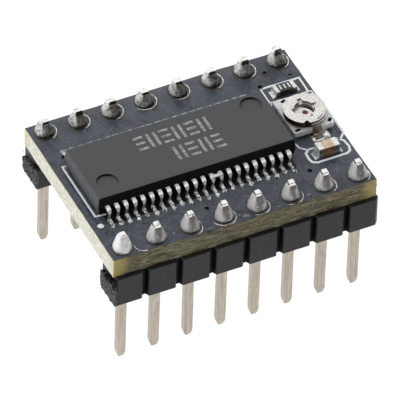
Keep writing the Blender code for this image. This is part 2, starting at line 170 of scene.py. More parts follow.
# (cosine, sine) over the top of a bead of solder, from one side to the other
HALF_TURN = [(math.cos(math.pi * i / 8), math.sin(math.pi * i / 8)) for i in range(9)]


def arc(cx, cy, radius, start, end, steps):
    return [(cx + radius * c, cy + radius * s) for _, c, s in sweep(start, end, steps)]


def circle(cx, cy, radius, steps):
    return arc(cx, cy, radius, 0, 360, steps)[:-1]


def rounded_rectangle(width, depth, radius, steps=3, centre=(0, 0)):
    points = []
    for corner, (sx, sy) in enumerate(((1, 1), (-1, 1), (-1, -1), (1, -1))):
        x = centre[0] + sx * (width / 2 - radius)
        y = centre[1] + sy * (depth / 2 - radius)
        points += arc(x, y, radius, 90 * corner, 90 * corner + 90, steps)
    return points


def left_of(way):
    """The direction square to the left of another, in the plane."""
    return Vector((-way.y, way.x))


def offset_outline(points, distance):
    """Moves a counter-clockwise outline inwards by a distance, with mitred corners."""
    moved = []
    spots = [Vector(point) for point in points]
    for i, here in enumerate(spots):
        a = left_of((here - spots[i - 1]).normalized())
        b = left_of((spots[(i + 1) % len(spots)] - here).normalized())
        mitre = a + b
        moved.append(tuple(here + mitre * (distance / max(0.35, mitre.dot(a)))))
    return moved


def at_height(outline, z):
    return [(x, y, z) for x, y in outline]


def rounding(size):
    """(inset, rise) at the steps of a rounded edge, from its flat face to its upright one."""
    if size <= 0:
        return [(0.0, 0.0)]
    angles = (0.0, math.pi / 4, math.pi / 2)
    return [(size * (1 - math.sin(a)), size * (1 - math.cos(a))) for a in angles]


def add_block(bm, outline, z0, z1, edge=0.03, foot=None):
    """An upright block from an outline, with rounded top and bottom edges."""
    steps = [(inset, z0 + rise) for inset, rise in rounding(edge if foot is None else foot)]
    steps += [(inset, z1 - rise) for inset, rise in reversed(rounding(edge))]
    add_loft(bm, [at_height(offset_outline(outline, inset), z) for inset, z in steps])


def add_line(bm, points, width, z0, z1, edge=0.02):
    """A flat raised line along a path, with mitred corners and square ends."""
    half = width / 2
    spots = [Vector(point) for point in points]
    ways = [left_of((b - a).normalized()) for a, b in zip(spots, spots[1:])]
    rows = []
    for here, a, b in zip(spots, ways[:1] + ways, ways + ways[-1:]):
        mitre = (a + b).normalized()
        mitre = mitre / max(0.4, mitre.dot(a))
        section = ((-half, z0), (half, z0), (half - edge, z1), (-half + edge, z1))
        rows.append([(*(here + mitre * offset), z) for offset, z in section])
    add_loft(bm, rows)


def add_turned(bm, profile, cx, cy, steps=40, closed=False):
    """Turns (radius, height) points about an upright axis."""
    add_loft(bm, [at_height(circle(cx, cy, radius, steps), z) for radius, z in profile], closed)


def path_normals(path):
    """The unit normal at each point of a path, square to the line between its neighbours."""
    last = len(path) - 1
    ways = [Vector(path[min(last, i + 1)]) - Vector(path[max(0, i - 1)]) for i in range(last + 1)]
    return [left_of(way.normalized()) for way in ways]


def strip_section(side, face):
    """A strip's cross-section with cut corners, in half widths and half thicknesses."""
    under = [(-1, -face), (-side, -1), (side, -1), (1, -face)]
    return under + [(x, -y) for x, y in reversed(under)]


def cut(obj, cutters):
    """Applies difference cuts and removes the cutting shapes."""
    for cutter in cutters:
        modifier = obj.modifiers.new("cut", "BOOLEAN")
        modifier.operation = "DIFFERENCE"
        modifier.solver = "EXACT"
        modifier.object = cutter
    bpy.context.view_layer.update()
    graph = bpy.context.evaluated_depsgraph_get()
    mesh = bpy.data.meshes.new_from_object(obj.evaluated_get(graph))
    obj.modifiers.clear()
    obj.data = mesh
    for cutter in cutters:
        bpy.data.objects.remove(cutter, do_unlink=True)
    smooth_below(mesh, 30)


def wobble(point, scale, seed=0.0):
    """Smooth noise from -1 to 1 at a point in millimetres."""
    return noise.noise(Vector(point) * scale + Vector((seed, seed * 1.7, seed * 0.6)))


def smoothstep(low, high, value):
    t = min(1.0, max(0.0, (value - low) / (high - low)))
    return t * t * (3 - 2 * t)


def clamp(value, limit):
    return max(-limit, min(limit, value))


# ---------------------------------------------------------------- materials


class Look:
    """A procedural material: a Principled shader and the nodes that feed it."""

    def __init__(self, name, colour, roughness, metallic=0.0, specular=None, coat=0.0):
        self.material = bpy.data.materials.new(name)
        self.material.use_nodes = True
        self.tree = self.material.node_tree
        self.shader = self.tree.nodes["Principled BSDF"]
        self.feed((*colour, 1), "Base Color")
        self.feed(roughness, "Roughness")
        self.feed(metallic, "Metallic")
        if specular is not None:
            self.feed(specular, "Specular IOR Level")
        if coat:
            self.feed(coat, "Coat Weight")
            self.feed(0.15, "Coat Roughness")
        self.last_normal = None

    def put(self, value, socket):
        """Links an output to a socket, or sets the socket to a constant."""
        if hasattr(value, "is_output"):
            self.tree.links.new(value, socket)
        else:
            socket.default_value = value

    def feed(self, value, name):
        self.put(value, self.shader.inputs[name])

    def node(self, kind, inputs):
        node = self.tree.nodes.new("ShaderNode" + kind)
        for name, value in inputs.items():
            self.put(value, node.inputs[name])
        return node

    def coords(self, stretch=(1, 1, 1)):
        """Object coordinates in millimetres, stretched per axis."""
        place = self.node("TexCoord", {}).outputs["Object"]
        scale = [s / MM for s in stretch]
        return self.node("Mapping", {"Vector": place, "Scale": scale}).outputs["Vector"]

    def noise(self, scale, detail=4, roughness=0.55, stretch=(1, 1, 1), distortion=0.0):
        inputs = {"Vector": self.coords(stretch), "Scale": scale, "Detail": detail}
        inputs.update({"Roughness": roughness, "Distortion": distortion})
        return self.node("TexNoise", inputs).outputs["Fac"]

    def split(self, axis):
        """One axis of the object coordinates, in millimetres."""
        return self.node("SeparateXYZ", {"Vector": self.coords()}).outputs[axis]

    def facing(self, axis):
        """One axis of the surface normal."""
        normal = self.node("NewGeometry", {}).outputs["Normal"]
        return self.node("SeparateXYZ", {"Vector": normal}).outputs[axis]

    def math(self, operation, a, b=0.0):
        node = self.node("Math", {0: a, 1: b})
        node.operation = operation
        return node.outputs[0]

    def add(self, a, b):
        return self.math("ADD", a, b)

    def subtract(self, a, b):
        return self.math("SUBTRACT", a, b)

    def times(self, a, b):
        return self.math("MULTIPLY", a, b)

    def larger(self, a, b):
        return self.math("MAXIMUM", a, b)

    def size_of(self, a):
        return self.math("ABSOLUTE", a)

    def map(self, value, low, high, to_low=0.0, to_high=1.0, smooth=False):
        inputs = {"Value": value, "From Min": low, "From Max": high, "To Min": to_low, "To Max": to_high}
        node = self.node("MapRange", inputs)
        if smooth:
            node.interpolation_type = "SMOOTHSTEP"
        return node.outputs["Result"]

    def fade(self, value, low, high, start=1.0):
        """Falls from a start to nothing as the value rises from low to high."""
        return self.map(value, low, high, start, 0.0)

    def mix(self, factor, a, b):
        """Blends two colours (tuples or outputs)."""
        node = self.tree.nodes.new("ShaderNodeMix")
        node.data_type = "RGBA"
        self.put(factor, node.inputs["Factor"])
        for index, value in ((6, a), (7, b)):
            self.put((*value, 1) if isinstance(value, tuple) else value, node.inputs[index])
        return node.outputs[2]

    def ramp(self, span, a, b):
        """Blends two colours over a span: a value, its range and, if need be, the factors there."""
        return self.mix(self.map(*span), a, b)

    def layers(self, shade, *spans):
        """Lays colours on a shade. Each is (value, low, high, most, colour)."""
        for value, low, high, most, colour in spans:
            shade = self.ramp((value, low, high, 0.0, most), shade, colour)
        return shade

    def colour(self, output):
        self.feed(output, "Base Color")

    def roughness(self, output, low, high):
        self.feed(self.map(output, 0.3, 0.7, low, high), "Roughness")

    def bump(self, output, distance, strength=1.0):
        """Adds relief; distance is in millimetres."""
        inputs = {"Strength": strength, "Distance": distance * MM, "Height": output}
        if self.last_normal is not None:
            inputs["Normal"] = self.last_normal
        self.last_normal = self.node("Bump", inputs).outputs["Normal"]
        self.feed(self.last_normal, "Normal")
        return self


def mask_look():
    """Blue-black mask: cloudy, lightly scuffed, with painted shade, near black, on the board between the
    chip's leads.
    """
    look = Look("solder_mask", (0.030, 0.036, 0.046), 0.42, specular=0.55)
    patches = look.noise(0.7, 6, 0.68, distortion=0.8)
    fine = look.noise(5.0, 6, 0.75)
    scuffs = look.noise(1.0, 5, 0.7, stretch=(5.0, 1.2, 1.0), distortion=1.5)
    shade = look.ramp((patches, 0.36, 0.64), (0.014, 0.020, 0.033), (0.064, 0.075, 0.100))
    shade = look.layers(shade, (fine, 0.50, 0.70, 0.85, (0.100, 0.118, 0.150)))
    shade = look.mix(look.fade(fine, 0.32, 0.42, 0.7), shade, (0.006, 0.008, 0.014))
    shade = look.layers(shade, (scuffs, 0.60, 0.68, 0.7, (0.150, 0.175, 0.205)))
    # painted shade: near black, with less sheen, on the board between the chip's leads
    across = look.fade(look.size_of(look.add(look.split("Y"), 0.15)), 3.72, 3.86)
    along = look.fade(look.size_of(look.add(look.split("X"), 1.62)), 7.0, 7.2)
    lead_gap_shade = look.times(across, along)
    look.colour(look.mix(look.times(lead_gap_shade, 0.9), shade, (0.003, 0.003, 0.003)))
    look.feed(look.map(lead_gap_shade, 0.0, 1.0, 0.55, 0.1), "Specular IOR Level")
    look.roughness(patches, 0.30, 0.48)
    return look.bump(look.noise(1.6, 6, 0.62), 0.07, 0.7).bump(fine, 0.012, 0.7).material


def core_look():
    """Bare glass-epoxy: dark olive along the long edges, pale on the short ones."""
    look = Look("board_core", (0.1, 0.09, 0.06), 0.55, specular=0.4)
    fibres = look.noise(1.0, 8, 0.85, stretch=(0.9, 0.9, 9.0), distortion=0.7)
    sheets = look.noise(1.0, 8, 0.8, stretch=(2.4, 2.4, 7.0), distortion=0.4)
    speckle = look.noise(6.0, 5, 0.8)
    blotch = look.noise(0.7, 4, 0.6)
    tint = look.noise(0.9, 3, 0.5, stretch=(1.0, 1.0, 3.0))
    long_edge = look.layers(
        look.ramp((fibres, 0.46, 0.55), (0.007, 0.006, 0.003), (0.27, 0.24, 0.135)),
        (speckle, 0.55, 0.68, 0.6, (0.36, 0.33, 0.19)),
        (blotch, 0.42, 0.66, 0.55, (0.095, 0.060, 0.030)),
        (tint, 0.50, 0.66, 0.5, (0.085, 0.110, 0.040)),
    )
    corner = look.add(look.size_of(look.split("X")), look.times(blotch, 1.6))
    long_edge = look.ramp((corner, 9.4, 10.6, 0.0, 0.8, True), long_edge, (0.46, 0.37, 0.12))
    short_edge = look.layers(
        look.ramp((sheets, 0.36, 0.56), (0.50, 0.48, 0.35), (0.90, 0.89, 0.80)),
        (speckle, 0.56, 0.68, 0.6, (0.26, 0.25, 0.17)),
    )
    end = look.add(look.size_of(look.split("Y")), blotch)
    short_edge = look.ramp((end, 6.6, 7.7, 0.0, 0.6, True), short_edge, (0.66, 0.61, 0.33))
    look.colour(look.ramp((look.size_of(look.facing("X")), 0.25, 0.5), long_edge, short_edge))
    look.roughness(fibres, 0.40, 0.7)
    return look.bump(fibres, 0.07, 0.7).bump(speckle, 0.03, 0.6).material


def header_look():
    """Black plastic with a soft sheen, with painted shade, near black and with less sheen, down in the
    notches between the cells.
    """
    look = Look("header_plastic", (0.011, 0.0113, 0.012), 0.44, specular=0.36)
    grain = look.noise(5.0, 6, 0.65)
    streaks = look.noise(1.0, 4, 0.6, stretch=(3.0, 3.0, 0.5))
    shade = look.ramp((streaks, 0.35, 0.7), (0.008, 0.0085, 0.009), (0.015, 0.0155, 0.017))
    # painted shade: near black, with less sheen, on the upright walls in the notches between the cells
    off_centre = look.subtract(look.size_of(look.split("Y")), 6.35)
    inside = look.fade(look.size_of(off_centre), 1.09, 1.15)
    between = look.fade(look.size_of(look.split("X")), 9.3, 9.4)
    upright = look.fade(look.size_of(look.facing("Z")), 0.3, 0.5)
    notch = look.times(look.times(inside, between), upright)
    look.colour(look.mix(notch, shade, (0.002, 0.002, 0.002)))
    look.feed(look.map(notch, 0.0, 1.0, 0.36, 0.08), "Specular IOR Level")
    look.roughness(grain, 0.40, 0.54)
    return look.bump(grain, 0.012, 0.6).material


def torn_look():
    """Torn plastic: grey and fibrous, with painted shadow, black above a ragged height, in the hollow under
    the board where it tore away.
    """
    look = Look("torn_plastic", (0.06, 0.06, 0.062), 0.75, specular=0.2)
    rough = look.noise(5.0, 6, 0.75)
    ragged = look.noise(1.0, 4, 0.7, stretch=(3.0, 3.0, 0.6))
    shade = look.ramp((rough, 0.35, 0.65), (0.020, 0.020, 0.020), (0.19, 0.19, 0.195))
    # painted shadow: black above a ragged height, in the hollow under the board
    height = look.add(look.split("Z"), look.map(ragged, 0.3, 0.7, -0.5, 0.5))
    look.colour(look.ramp((height, 7.55, 7.75), shade, (0.003, 0.003, 0.003)))
    return look.bump(rough, 0.12, 1.0).material


def pin_look():
    """Plated pin: warm and streaky below the board, with painted shade on its rounded corners and tip; above
    it tinned, with painted brown shade on the rear row's front faces.
    """
    look = Look("pin_plating", (0.46, 0.41, 0.34), 0.28, 1.0)
    streaks = look.noise(1.0, 5, 0.65, stretch=(9.0, 9.0, 0.35))
    shade = look.ramp((streaks, 0.3, 0.7), (0.31, 0.27, 0.215), (0.60, 0.54, 0.465))
    shade = look.layers(shade, (look.noise(2.0, 4, 0.6), 0.5, 0.8, 0.5, (0.27, 0.235, 0.19)))
    # painted shade: darker where a face turns away from both X and Y, on the rounded corners and the tip's
    # end
    flat = look.larger(look.size_of(look.facing("X")), look.size_of(look.facing("Y")))
    shade = look.mix(look.fade(flat, 0.80, 0.95, 0.75), shade, (0.10, 0.085, 0.065))
    # painted shade: the rear row's front-facing faces above the board are brown
    front = look.fade(look.facing("Y"), -0.8, -0.3)
    rear_row = look.map(look.split("Y"), 0.0, 1.0)
    tin = look.mix(look.times(front, rear_row), (0.90, 0.89, 0.88), (0.10, 0.075, 0.06))
    tin = look.layers(tin, (look.noise(6.0, 2), 0.60, 0.66, 0.8, (0.10, 0.08, 0.07)))
    look.colour(look.ramp((look.split("Z"), 10.3, 10.7), shade, tin))
    look.roughness(streaks, 0.2, 0.42)
    return look.bump(streaks, 0.008, 0.6).material


def solder_look():
    """Dull solder: painted light, pale on the left, and painted shade, greyer on the right with a painted
    pale rim; painted glints and a paler first joint; in the rear row mottled painted shade on the right and
    front.
    """
    look = Look("solder", (0.60, 0.60, 0.60), 0.42, 0.35, specular=0.6)
    dull = look.noise(1.3, 5, 0.6, distortion=0.6)
    fine = look.noise(7.0, 5, 0.7)
    mottle = look.noise(3.2, 7, 0.8, distortion=0.6)

    def side_on(x_share, y_share):
        return look.subtract(look.times(look.facing("X"), x_share), look.times(look.facing("Y"), y_share))

    # painted light and shade: pale on faces turned left, grey on faces turned right, with a painted pale rim
    # at the right edge
    across = look.add(side_on(0.90, 0.43), look.map(dull, 0.3, 0.7, -0.15, 0.15))
    shade = look.ramp((across, -0.75, 0.30), (0.80, 0.78, 0.785), (0.17, 0.16, 0.165))
    shade = look.layers(shade, (across, 0.55, 0.75, 0.85, (0.56, 0.54, 0.55)))
    first = look.fade(look.split("X"), -8.1, -7.9)
    shade = look.mix(look.times(first, 0.65), shade, (1.0, 0.99, 0.99))
    # painted glints: pale spots
    glint = look.noise(2.6, 4, 0.7, distortion=0.5)
    shade = look.layers(shade, (glint, 0.60, 0.68, 0.7, (0.80, 0.79, 0.80)))
    shade = look.mix(look.fade(fine, 0.25, 0.32, 0.6), shade, (0.10, 0.09, 0.085))
    shade = look.mix(look.fade(mottle, 0.36, 0.46, 0.30), shade, (0.10, 0.09, 0.09))
    # painted shade in the rear row: mottled dark brown on faces turned right and to the front, mottled pale
    # on those turned left
    patchy = look.add(look.map(side_on(0.72, 0.69), 0.15, 0.70), look.map(dull, 0.3, 0.7, -0.25, 0.25))
    rear_row_shade = look.ramp((mottle, 0.42, 0.58), (0.035, 0.032, 0.025), (0.34, 0.33, 0.30))
    bright = look.ramp((mottle, 0.40, 0.56), (0.20, 0.20, 0.19), (1.0, 1.0, 1.0))
    rear = look.ramp((patchy, 0.1, 0.8, 0.15, 1.0), bright, rear_row_shade)
    shade = look.ramp((look.split("Y"), 0.0, 1.0), shade, rear)
    # a darker brownish band on the front faces just below the pin, broken up by noise
    below_pin = look.times(look.map(look.split("Z"), 10.96, 11.04), look.fade(look.split("Z"), 11.10, 11.20))
    front_dark_band = look.times(below_pin, look.fade(look.facing("Y"), -0.90, -0.72))
    front_dark_band = look.times(front_dark_band, look.map(dull, 0.42, 0.55, 0.0, 0.7))
    look.colour(look.mix(front_dark_band, shade, (0.14, 0.11, 0.095)))
    look.roughness(fine, 0.32, 0.48)
    return look.bump(dull, 0.04, 0.8).bump(fine, 0.016, 0.8).material


def package_look():
    """Moulding compound, with painted light as pale specks on its left-facing sides, and painted shade, near
    black with less sheen, on its front side and the front-facing wall of each recess.
    """
    look = Look("mould_compound", (0.055, 0.056, 0.060), 0.52, specular=0.5)
    grain = look.noise(14.0, 5, 0.7)
    shade = look.ramp((grain, 0.35, 0.68), (0.046, 0.048, 0.053), (0.076, 0.078, 0.085))
    shade = look.layers(shade, (look.noise(0.5, 4, 0.6), 0.35, 0.7, 0.6, (0.060, 0.062, 0.067)))
    # painted light: pale specks on left-facing faces
    left = look.fade(look.facing("X"), -0.75, -0.45)
    specks = look.map(look.noise(4.0, 6, 0.85), 0.53, 0.66, 0.0, 0.8)
    shade = look.mix(look.times(left, specks), shade, (0.22, 0.205, 0.175))
    # painted shade: front-facing faces are near black with less sheen
    front = look.fade(look.facing("Y"), -0.75, -0.45)
    look.colour(look.mix(front, shade, (0.004, 0.004, 0.004)))
    look.feed(look.map(front, 0.0, 1.0, 0.5, 0.12), "Specular IOR Level")
    look.roughness(grain, 0.46, 0.62)
    return look.bump(grain, 0.008, 0.8).material


def lead_look():
    """Tinned leads: a painted highlight, white, on top of the shoulder, greyer down the front, dark grey at
    the neck.
    """
    look = Look("lead_plating", (0.74, 0.74, 0.72), 0.34, 0.6)
    dull = look.noise(6.0, 5, 0.7)
    low = look.ramp((dull, 0.35, 0.7), (0.20, 0.195, 0.185), (0.56, 0.55, 0.53))
    face = look.ramp((dull, 0.32, 0.62), (0.36, 0.35, 0.335), (0.80, 0.79, 0.78))
    # painted highlight: upward-facing faces of the shoulder are white
    flat = look.map(look.facing("Z"), 0.35, 0.60)
    high = look.mix(flat, face, (1.0, 1.0, 1.0))
    toe = look.ramp((dull, 0.46, 0.53), (0.06, 0.06, 0.06), (1.0, 1.0, 1.0))
    upper = look.map(look.split("Z"), 10.58, 10.68)
    foot = look.fade(look.split("Z"), 10.25, 10.33)
    look.colour(look.mix(foot, look.mix(upper, low, high), toe))
    metal = look.map(look.larger(upper, foot), 0.0, 1.0, 0.95, 0.08)
    bend = look.times(flat, look.fade(look.facing("Z"), 0.86, 0.95, 0.9))
    look.feed(look.larger(metal, bend), "Metallic")
    look.roughness(dull, 0.25, 0.45)
    return look.bump(dull, 0.02, 0.7).material


def ceramic_look():
    look = Look("trimmer_ceramic", (0.80, 0.79, 0.78), 0.35)
    cloud = look.noise(2.2, 5, 0.65)
    look.colour(look.ramp((cloud, 0.35, 0.65), (0.66, 0.65, 0.63), (0.95, 0.94, 0.94)))
    return look.bump(look.noise(8.0, 4, 0.6), 0.012, 0.6).material


def rotor_look():
    """Stamped metal: bright on top, with painted shade at the lips and feet of the stamped walls and a
    painted brown tint on walls that face right.
    """
    look = Look("rotor_metal", (0.80, 0.77, 0.74), 0.3, 1.0)
    grain = look.noise(7.0, 5, 0.75)
    shade = look.ramp((grain, 0.38, 0.62), (0.56, 0.53, 0.50), (0.90, 0.87, 0.84))
    # painted shade: steep walls are darker, most at their lips and feet, near black on the outer rim; those
    # facing right get a painted brown tint
    steep = look.fade(look.facing("Z"), 0.35, 0.82, 0.95)
    lip = look.map(look.split("Z"), 11.22, 11.28)
    foot = look.fade(look.split("Z"), 11.09, 11.13)
    band = look.map(look.larger(lip, foot), 0.0, 1.0, 0.25, 1.0)
    left = look.map(look.facing("X"), -0.5, 0.3)
    brown = look.times(look.times(steep, left), look.fade(band, 0.25, 0.6, 0.7))
    x, y = look.subtract(look.split("X"), TRIM_X), look.subtract(look.split("Y"), TRIM_Y)
    r = look.math("SQRT", look.add(look.times(x, x), look.times(y, y)))
    painted_shade = look.ramp((r, 0.76, 0.79), (0.13, 0.095, 0.085), (0.030, 0.018, 0.015))
    look.colour(look.mix(brown, look.mix(look.times(steep, band), shade, painted_shade), (0.24, 0.18, 0.17)))
    look.feed(look.map(band, 0.25, 1.0, 0.35, 1.0), "Metallic")
    look.roughness(grain, 0.26, 0.46)
    return look.bump(grain, 0.015, 0.8).material


def capacitor_look():
    """Ceramic capacitor: tan on top, with painted shade, browner and darker, down its sides."""
    look = Look("capacitor_ceramic", (0.55, 0.47, 0.34), 0.38)
    cloud = look.noise(3.0, 5, 0.65)
    top = look.ramp((cloud, 0.35, 0.7), (0.60, 0.42, 0.27), (0.78, 0.66, 0.50))
    side = look.ramp((cloud, 0.38, 0.62), (0.10, 0.045, 0.018), (0.28, 0.145, 0.060))
    # painted shade: the sides are darker brown than the top
    look.colour(look.ramp((look.facing("Z"), 0.3, 0.8), side, top))
    return look.bump(cloud, 0.01, 0.6).material


def tinned_look():
    """Tinned chip ends: bright on top, with painted shade, darker and mottled, on the front side."""
    look = Look("tinned_end", (0.78, 0.78, 0.77), 0.3, 0.8)
    dull = look.noise(6.0, 5, 0.65)
    shade = look.ramp((dull, 0.38, 0.62), (0.58, 0.57, 0.55), (0.98, 0.97, 0.95))
    # painted shade on front-facing faces
    look.colour(look.mix(look.fade(look.facing("Y"), -0.9, -0.5, 0.85), shade, (0.13, 0.135, 0.115)))
    look.roughness(dull, 0.22, 0.42)
    return look.bump(dull, 0.03, 0.6).material


def simple_look(name, colour, roughness, metallic=0.0, grain=(), tones=(), relief=(), **sheen):
    """One grain that shifts the colour between two tones (low, high, tone, tone) and adds relief."""
    look = Look(name, colour, roughness, metallic, **sheen)
    spots = look.noise(*grain)
    if tones:
        low, high, dark, pale = tones
        look.colour(look.ramp((spots, low, high), dark, pale))
    if relief:
        look.bump(spots, *relief)
    return look.material


MASK = mask_look()
CORE = core_look()
HEADER = header_look()
TORN = torn_look()
PIN = pin_look()
SOLDER = solder_look()
PACKAGE = package_look()
LEAD = lead_look()
CERAMIC = ceramic_look()
ROTOR = rotor_look()
CAPACITOR = capacitor_look()
TINNED = tinned_look()
INK = simple_look(
    "silkscreen_ink", (0.88, 0.93, 0.95), 0.6, grain=(6.0, 4, 0.7),
    tones=(0.28, 0.42, (0.52, 0.57, 0.60), (0.91, 0.96, 0.98)), relief=(0.01, 0.6))
BRIGHT = simple_look(
    "bright_solder", (0.85, 0.85, 0.85), 0.18, 0.75, grain=(6.0, 4, 0.6),
    tones=(0.38, 0.58, (0.45, 0.45, 0.44), (0.98, 0.98, 0.97)), relief=(0.06, 0.8))
# the lead toes' solder is broken by sharp dark specks
TOE = simple_look(
    "toe_solder", (0.85, 0.85, 0.85), 0.2, 0.3, grain=(5.0, 4, 0.65, (1, 1, 1), 0.4),
    tones=(0.43, 0.50, (0.035, 0.032, 0.030), (1.0, 1.0, 1.0)), relief=(0.05, 0.8))
PAD = simple_look(
    "pad_tin", (0.20, 0.205, 0.21), 0.4, 0.3, grain=(2.0, 5, 0.7),
    tones=(0.42, 0.60, (0.12, 0.125, 0.13), (0.42, 0.43, 0.44)))
# near-black glossy trough round each joint's pad: painted shade
RING_SHADE = simple_look(
    "painted_ring_shade", (0.02, 0.019, 0.018), 0.22, grain=(5.0, 4, 0.6), relief=(0.05, 0.8), specular=0.6)
DROP = simple_look(
    "clear_flux", (0.13, 0.15, 0.18), 0.12, grain=(4.0, 3, 0.5), relief=(0.05, 0.8), specular=0.9)
LASER = simple_look(
    "laser_mark", (0.35, 0.33, 0.27), 0.7, grain=(4.5, 4, 0.8),
    tones=(0.38, 0.64, (0.14, 0.14, 0.134), (0.53, 0.53, 0.505)), relief=(0.02, 0.8))
# dark metal for the skirt under the rotor's disc: painted shade
SKIRT = simple_look(
    "rotor_skirt", (0.10, 0.085, 0.075), 0.4, 1.0, grain=(2.5, 5, 0.7),
    tones=(0.35, 0.7, (0.035, 0.028, 0.024), (0.20, 0.175, 0.16)), relief=(0.03, 0.7))
TERMINAL = simple_look(
    "terminal_metal", (0.26, 0.24, 0.17), 0.42, 1.0, grain=(4.0, 5, 0.65),
    tones=(0.35, 0.7, (0.12, 0.11, 0.075), (0.42, 0.39, 0.29)), relief=(0.03, 0.6))
GLAZE = simple_look(
    "resistor_glaze", (0.018, 0.018, 0.022), 0.25, grain=(5.0, 4, 0.6), relief=(0.01, 0.6), coat=0.3)
HOLE = simple_look(
    "via_hole", (0.004, 0.004, 0.004), 0.6, grain=(6.0, 3), relief=(0.01, 0.5), specular=0.05)
# the rivet and the rotor's lip: pale pinkish metal
EYELET = simple_look(
    "eyelet_metal", (0.80, 0.74, 0.70), 0.32, 0.5, grain=(5.0, 4, 0.6),
    tones=(0.35, 0.7, (0.74, 0.66, 0.64), (0.98, 0.94, 0.92)), relief=(0.02, 0.6))
# the dark crescent on the eyelet's flange: painted shade, a dark reflection
PAINTED_SHADE = simple_look(
    "painted_shade", (0.012, 0.006, 0.006), 0.6, grain=(6.0, 3, 0.6), relief=(0.02, 0.6), specular=0.1)
BORE = simple_look("eyelet_bore", (0.10, 0.012, 0.014), 0.5, grain=(6.0, 3), relief=(0.02, 0.5))
SILICON = simple_look("silicon_die", (0.10, 0.11, 0.13), 0.18, grain=(6.0, 3), relief=(0.01, 0.5))
TRACK = simple_look("resistive_track", (0.02, 0.02, 0.02), 0.7, grain=(8.0, 4), relief=(0.02, 0.6))

# ---------------------------------------------------------------- board

MASK_THICKNESS = 0.03
TRACE_RISE = 0.021  # how far a covered trace stands up
EDGE_STEP = 0.35


def board_outline(half_x, half_y, roughness, seed):
    """The board's plan, walked in short steps with a slightly uneven routed edge."""
    corners = [(half_x, -half_y), (half_x, half_y), (-half_x, half_y), (-half_x, -half_y)]
    outward = [(1, 0), (0, 1), (-1, 0), (0, -1)]
    points = []
    for side, start in enumerate(corners):
        end = corners[(side + 1) % 4]
        count = int(math.dist(start, end) / EDGE_STEP)
        for step in range(count):
            t = step / count
            x = start[0] + (end[0] - start[0]) * t
            y = start[1] + (end[1] - start[1]) * t
            sway = roughness * wobble((x, y, 0), 1.3, seed) if step else 0.0
            points.append((x + outward[side][0] * sway, y + outward[side][1] * sway))
    return points


def build_board():
    bm = bmesh.new()
    outline = board_outline(BOARD_X, BOARD_Y, 0.03, 3.0)
    low, high = BOTTOM + MASK_THICKNESS, TOP - MASK_THICKNESS
    levels = 7
    rings = []
    for level in range(levels + 1):
        z = low + (high - low) * level / levels
        pushes = [0.022 * wobble((x * 0.6, y * 0.6, z * 4), 1.0, 8.0) for x, y in outline]
        rings.append([(x * (1 - p / 10), y * (1 - p / 7), z) for (x, y), p in zip(outline, pushes)])
    add_piece("board_core", loft(rings), CORE, "solder_mask", "pcb", smooth=50)
    for side, z0, z1 in (("top", high - 0.001, TOP), ("bottom", BOTTOM, low + 0.001)):
        bm = bmesh.new()
        add_block(bm, offset_outline(outline, 0.035), z0, z1, edge=0.012, foot=0.0)
        add_piece(f"solder_mask_{side}", bm, MASK, "solder_mask")


build_board()

# Covered copper traces that show through the mask on the top, as paths
TOP_TRACES = [
    (0.35, [(-8.89, 5.4), (-8.89, 4.2), (-7.6, 3.1), (-7.6, 2.8)]),
    (0.35, [(-6.35, 5.4), (-6.35, 4.6), (-5.2, 3.6)]),
    (0.30, [(-3.81, 5.4), (-3.81, 4.7), (-3.1, 3.9)]),
    (0.30, [(-1.27, 5.4), (-1.27, 4.6), (-0.6, 3.9)]),
    (0.30, [(1.27, 5.4), (1.27, 4.8), (2.1, 3.9)]),
    (0.30, [(3.81, 5.4), (3.81, 4.8), (4.6, 3.9)]),
    (0.35, [(6.35, 5.4), (6.35, 4.9), (5.6, 4.2)]),
    (0.30, [(8.89, 5.4), (8.89, 4.6), (9.45, 4.4), (9.62, 2.6), (9.7, -2.0)]),
    (0.40, [(-8.89, -5.4), (-8.89, -4.6), (-9.5, -4.0), (-9.5, 2.4), (-8.9, 3.2)]),
    (0.30, [(-6.35, -5.4), (-6.35, -4.9), (-6.9, -4.5)]),
    (0.30, [(-3.81, -5.4), (-3.81, -5.0), (-4.6, -4.6)]),
    (0.30, [(-1.27, -5.4), (-1.27, -5.1), (-2.0, -4.7)]),
    (0.30, [(1.27, -5.4), (1.27, -5.1), (0.5, -4.7)]),
    (0.30, [(3.81, -5.4), (3.81, -5.1), (2.9, -4.7)]),
    (0.30, [(6.35, -5.5), (6.35, -5.1), (5.5, -4.8)]),
    (0.30, [(8.89, -5.5), (8.89, -5.0), (8.2, -4.6), (7.4, -4.6)]),
]

# Traces on the underside; each has a mirrored twin on the other side of Y = 0
BOTTOM_TRACES = [
    (0.5, [(-8.89, 5.4), (-8.89, 3.4), (-8.2, 2.6)]),
    (0.4, [(-6.35, 5.4), (-6.35, 4.4), (-3.4, 3.0), (-3.4, 2.6)]),
    (0.3, [(-3.81, 5.4), (-3.81, 4.2), (-0.2, 3.6), (0.6, 2.8)]),
    (0.3, [(-1.27, 5.4), (-1.27, 4.6), (2.0, 4.2), (2.4, 3.6)]),
    (0.3, [(1.27, 5.4), (1.27, 4.9), (4.4, 4.4), (4.7, 3.6)]),
    (0.3, [(3.81, 5.4), (3.81, 5.0), (6.2, 4.4), (6.7, 3.6)]),
    (0.5, [(-4.6, 0.4), (3.6, 0.4), (8.6, 1.6)]),
]
BOTTOM_TRACES += [(width, [(x, -y) for x, y in path]) for width, path in BOTTOM_TRACES]


def drawn(lines, z0, z1, edge):
    """Flat lines, each a width and a path, in one bmesh."""
    bm = bmesh.new()
    for width, path in lines:
        add_line(bm, path, width, z0, z1, edge)
    return bm


traces = drawn(TOP_TRACES, TOP - 0.01, TOP + TRACE_RISE, 0.05)
add_piece("covered_traces_top", traces, MASK, "solder_mask")
traces = drawn(BOTTOM_TRACES, BOTTOM + 0.01, BOTTOM - TRACE_RISE, 0.05)
add_piece("covered_traces_bottom", traces, MASK, "solder_mask")

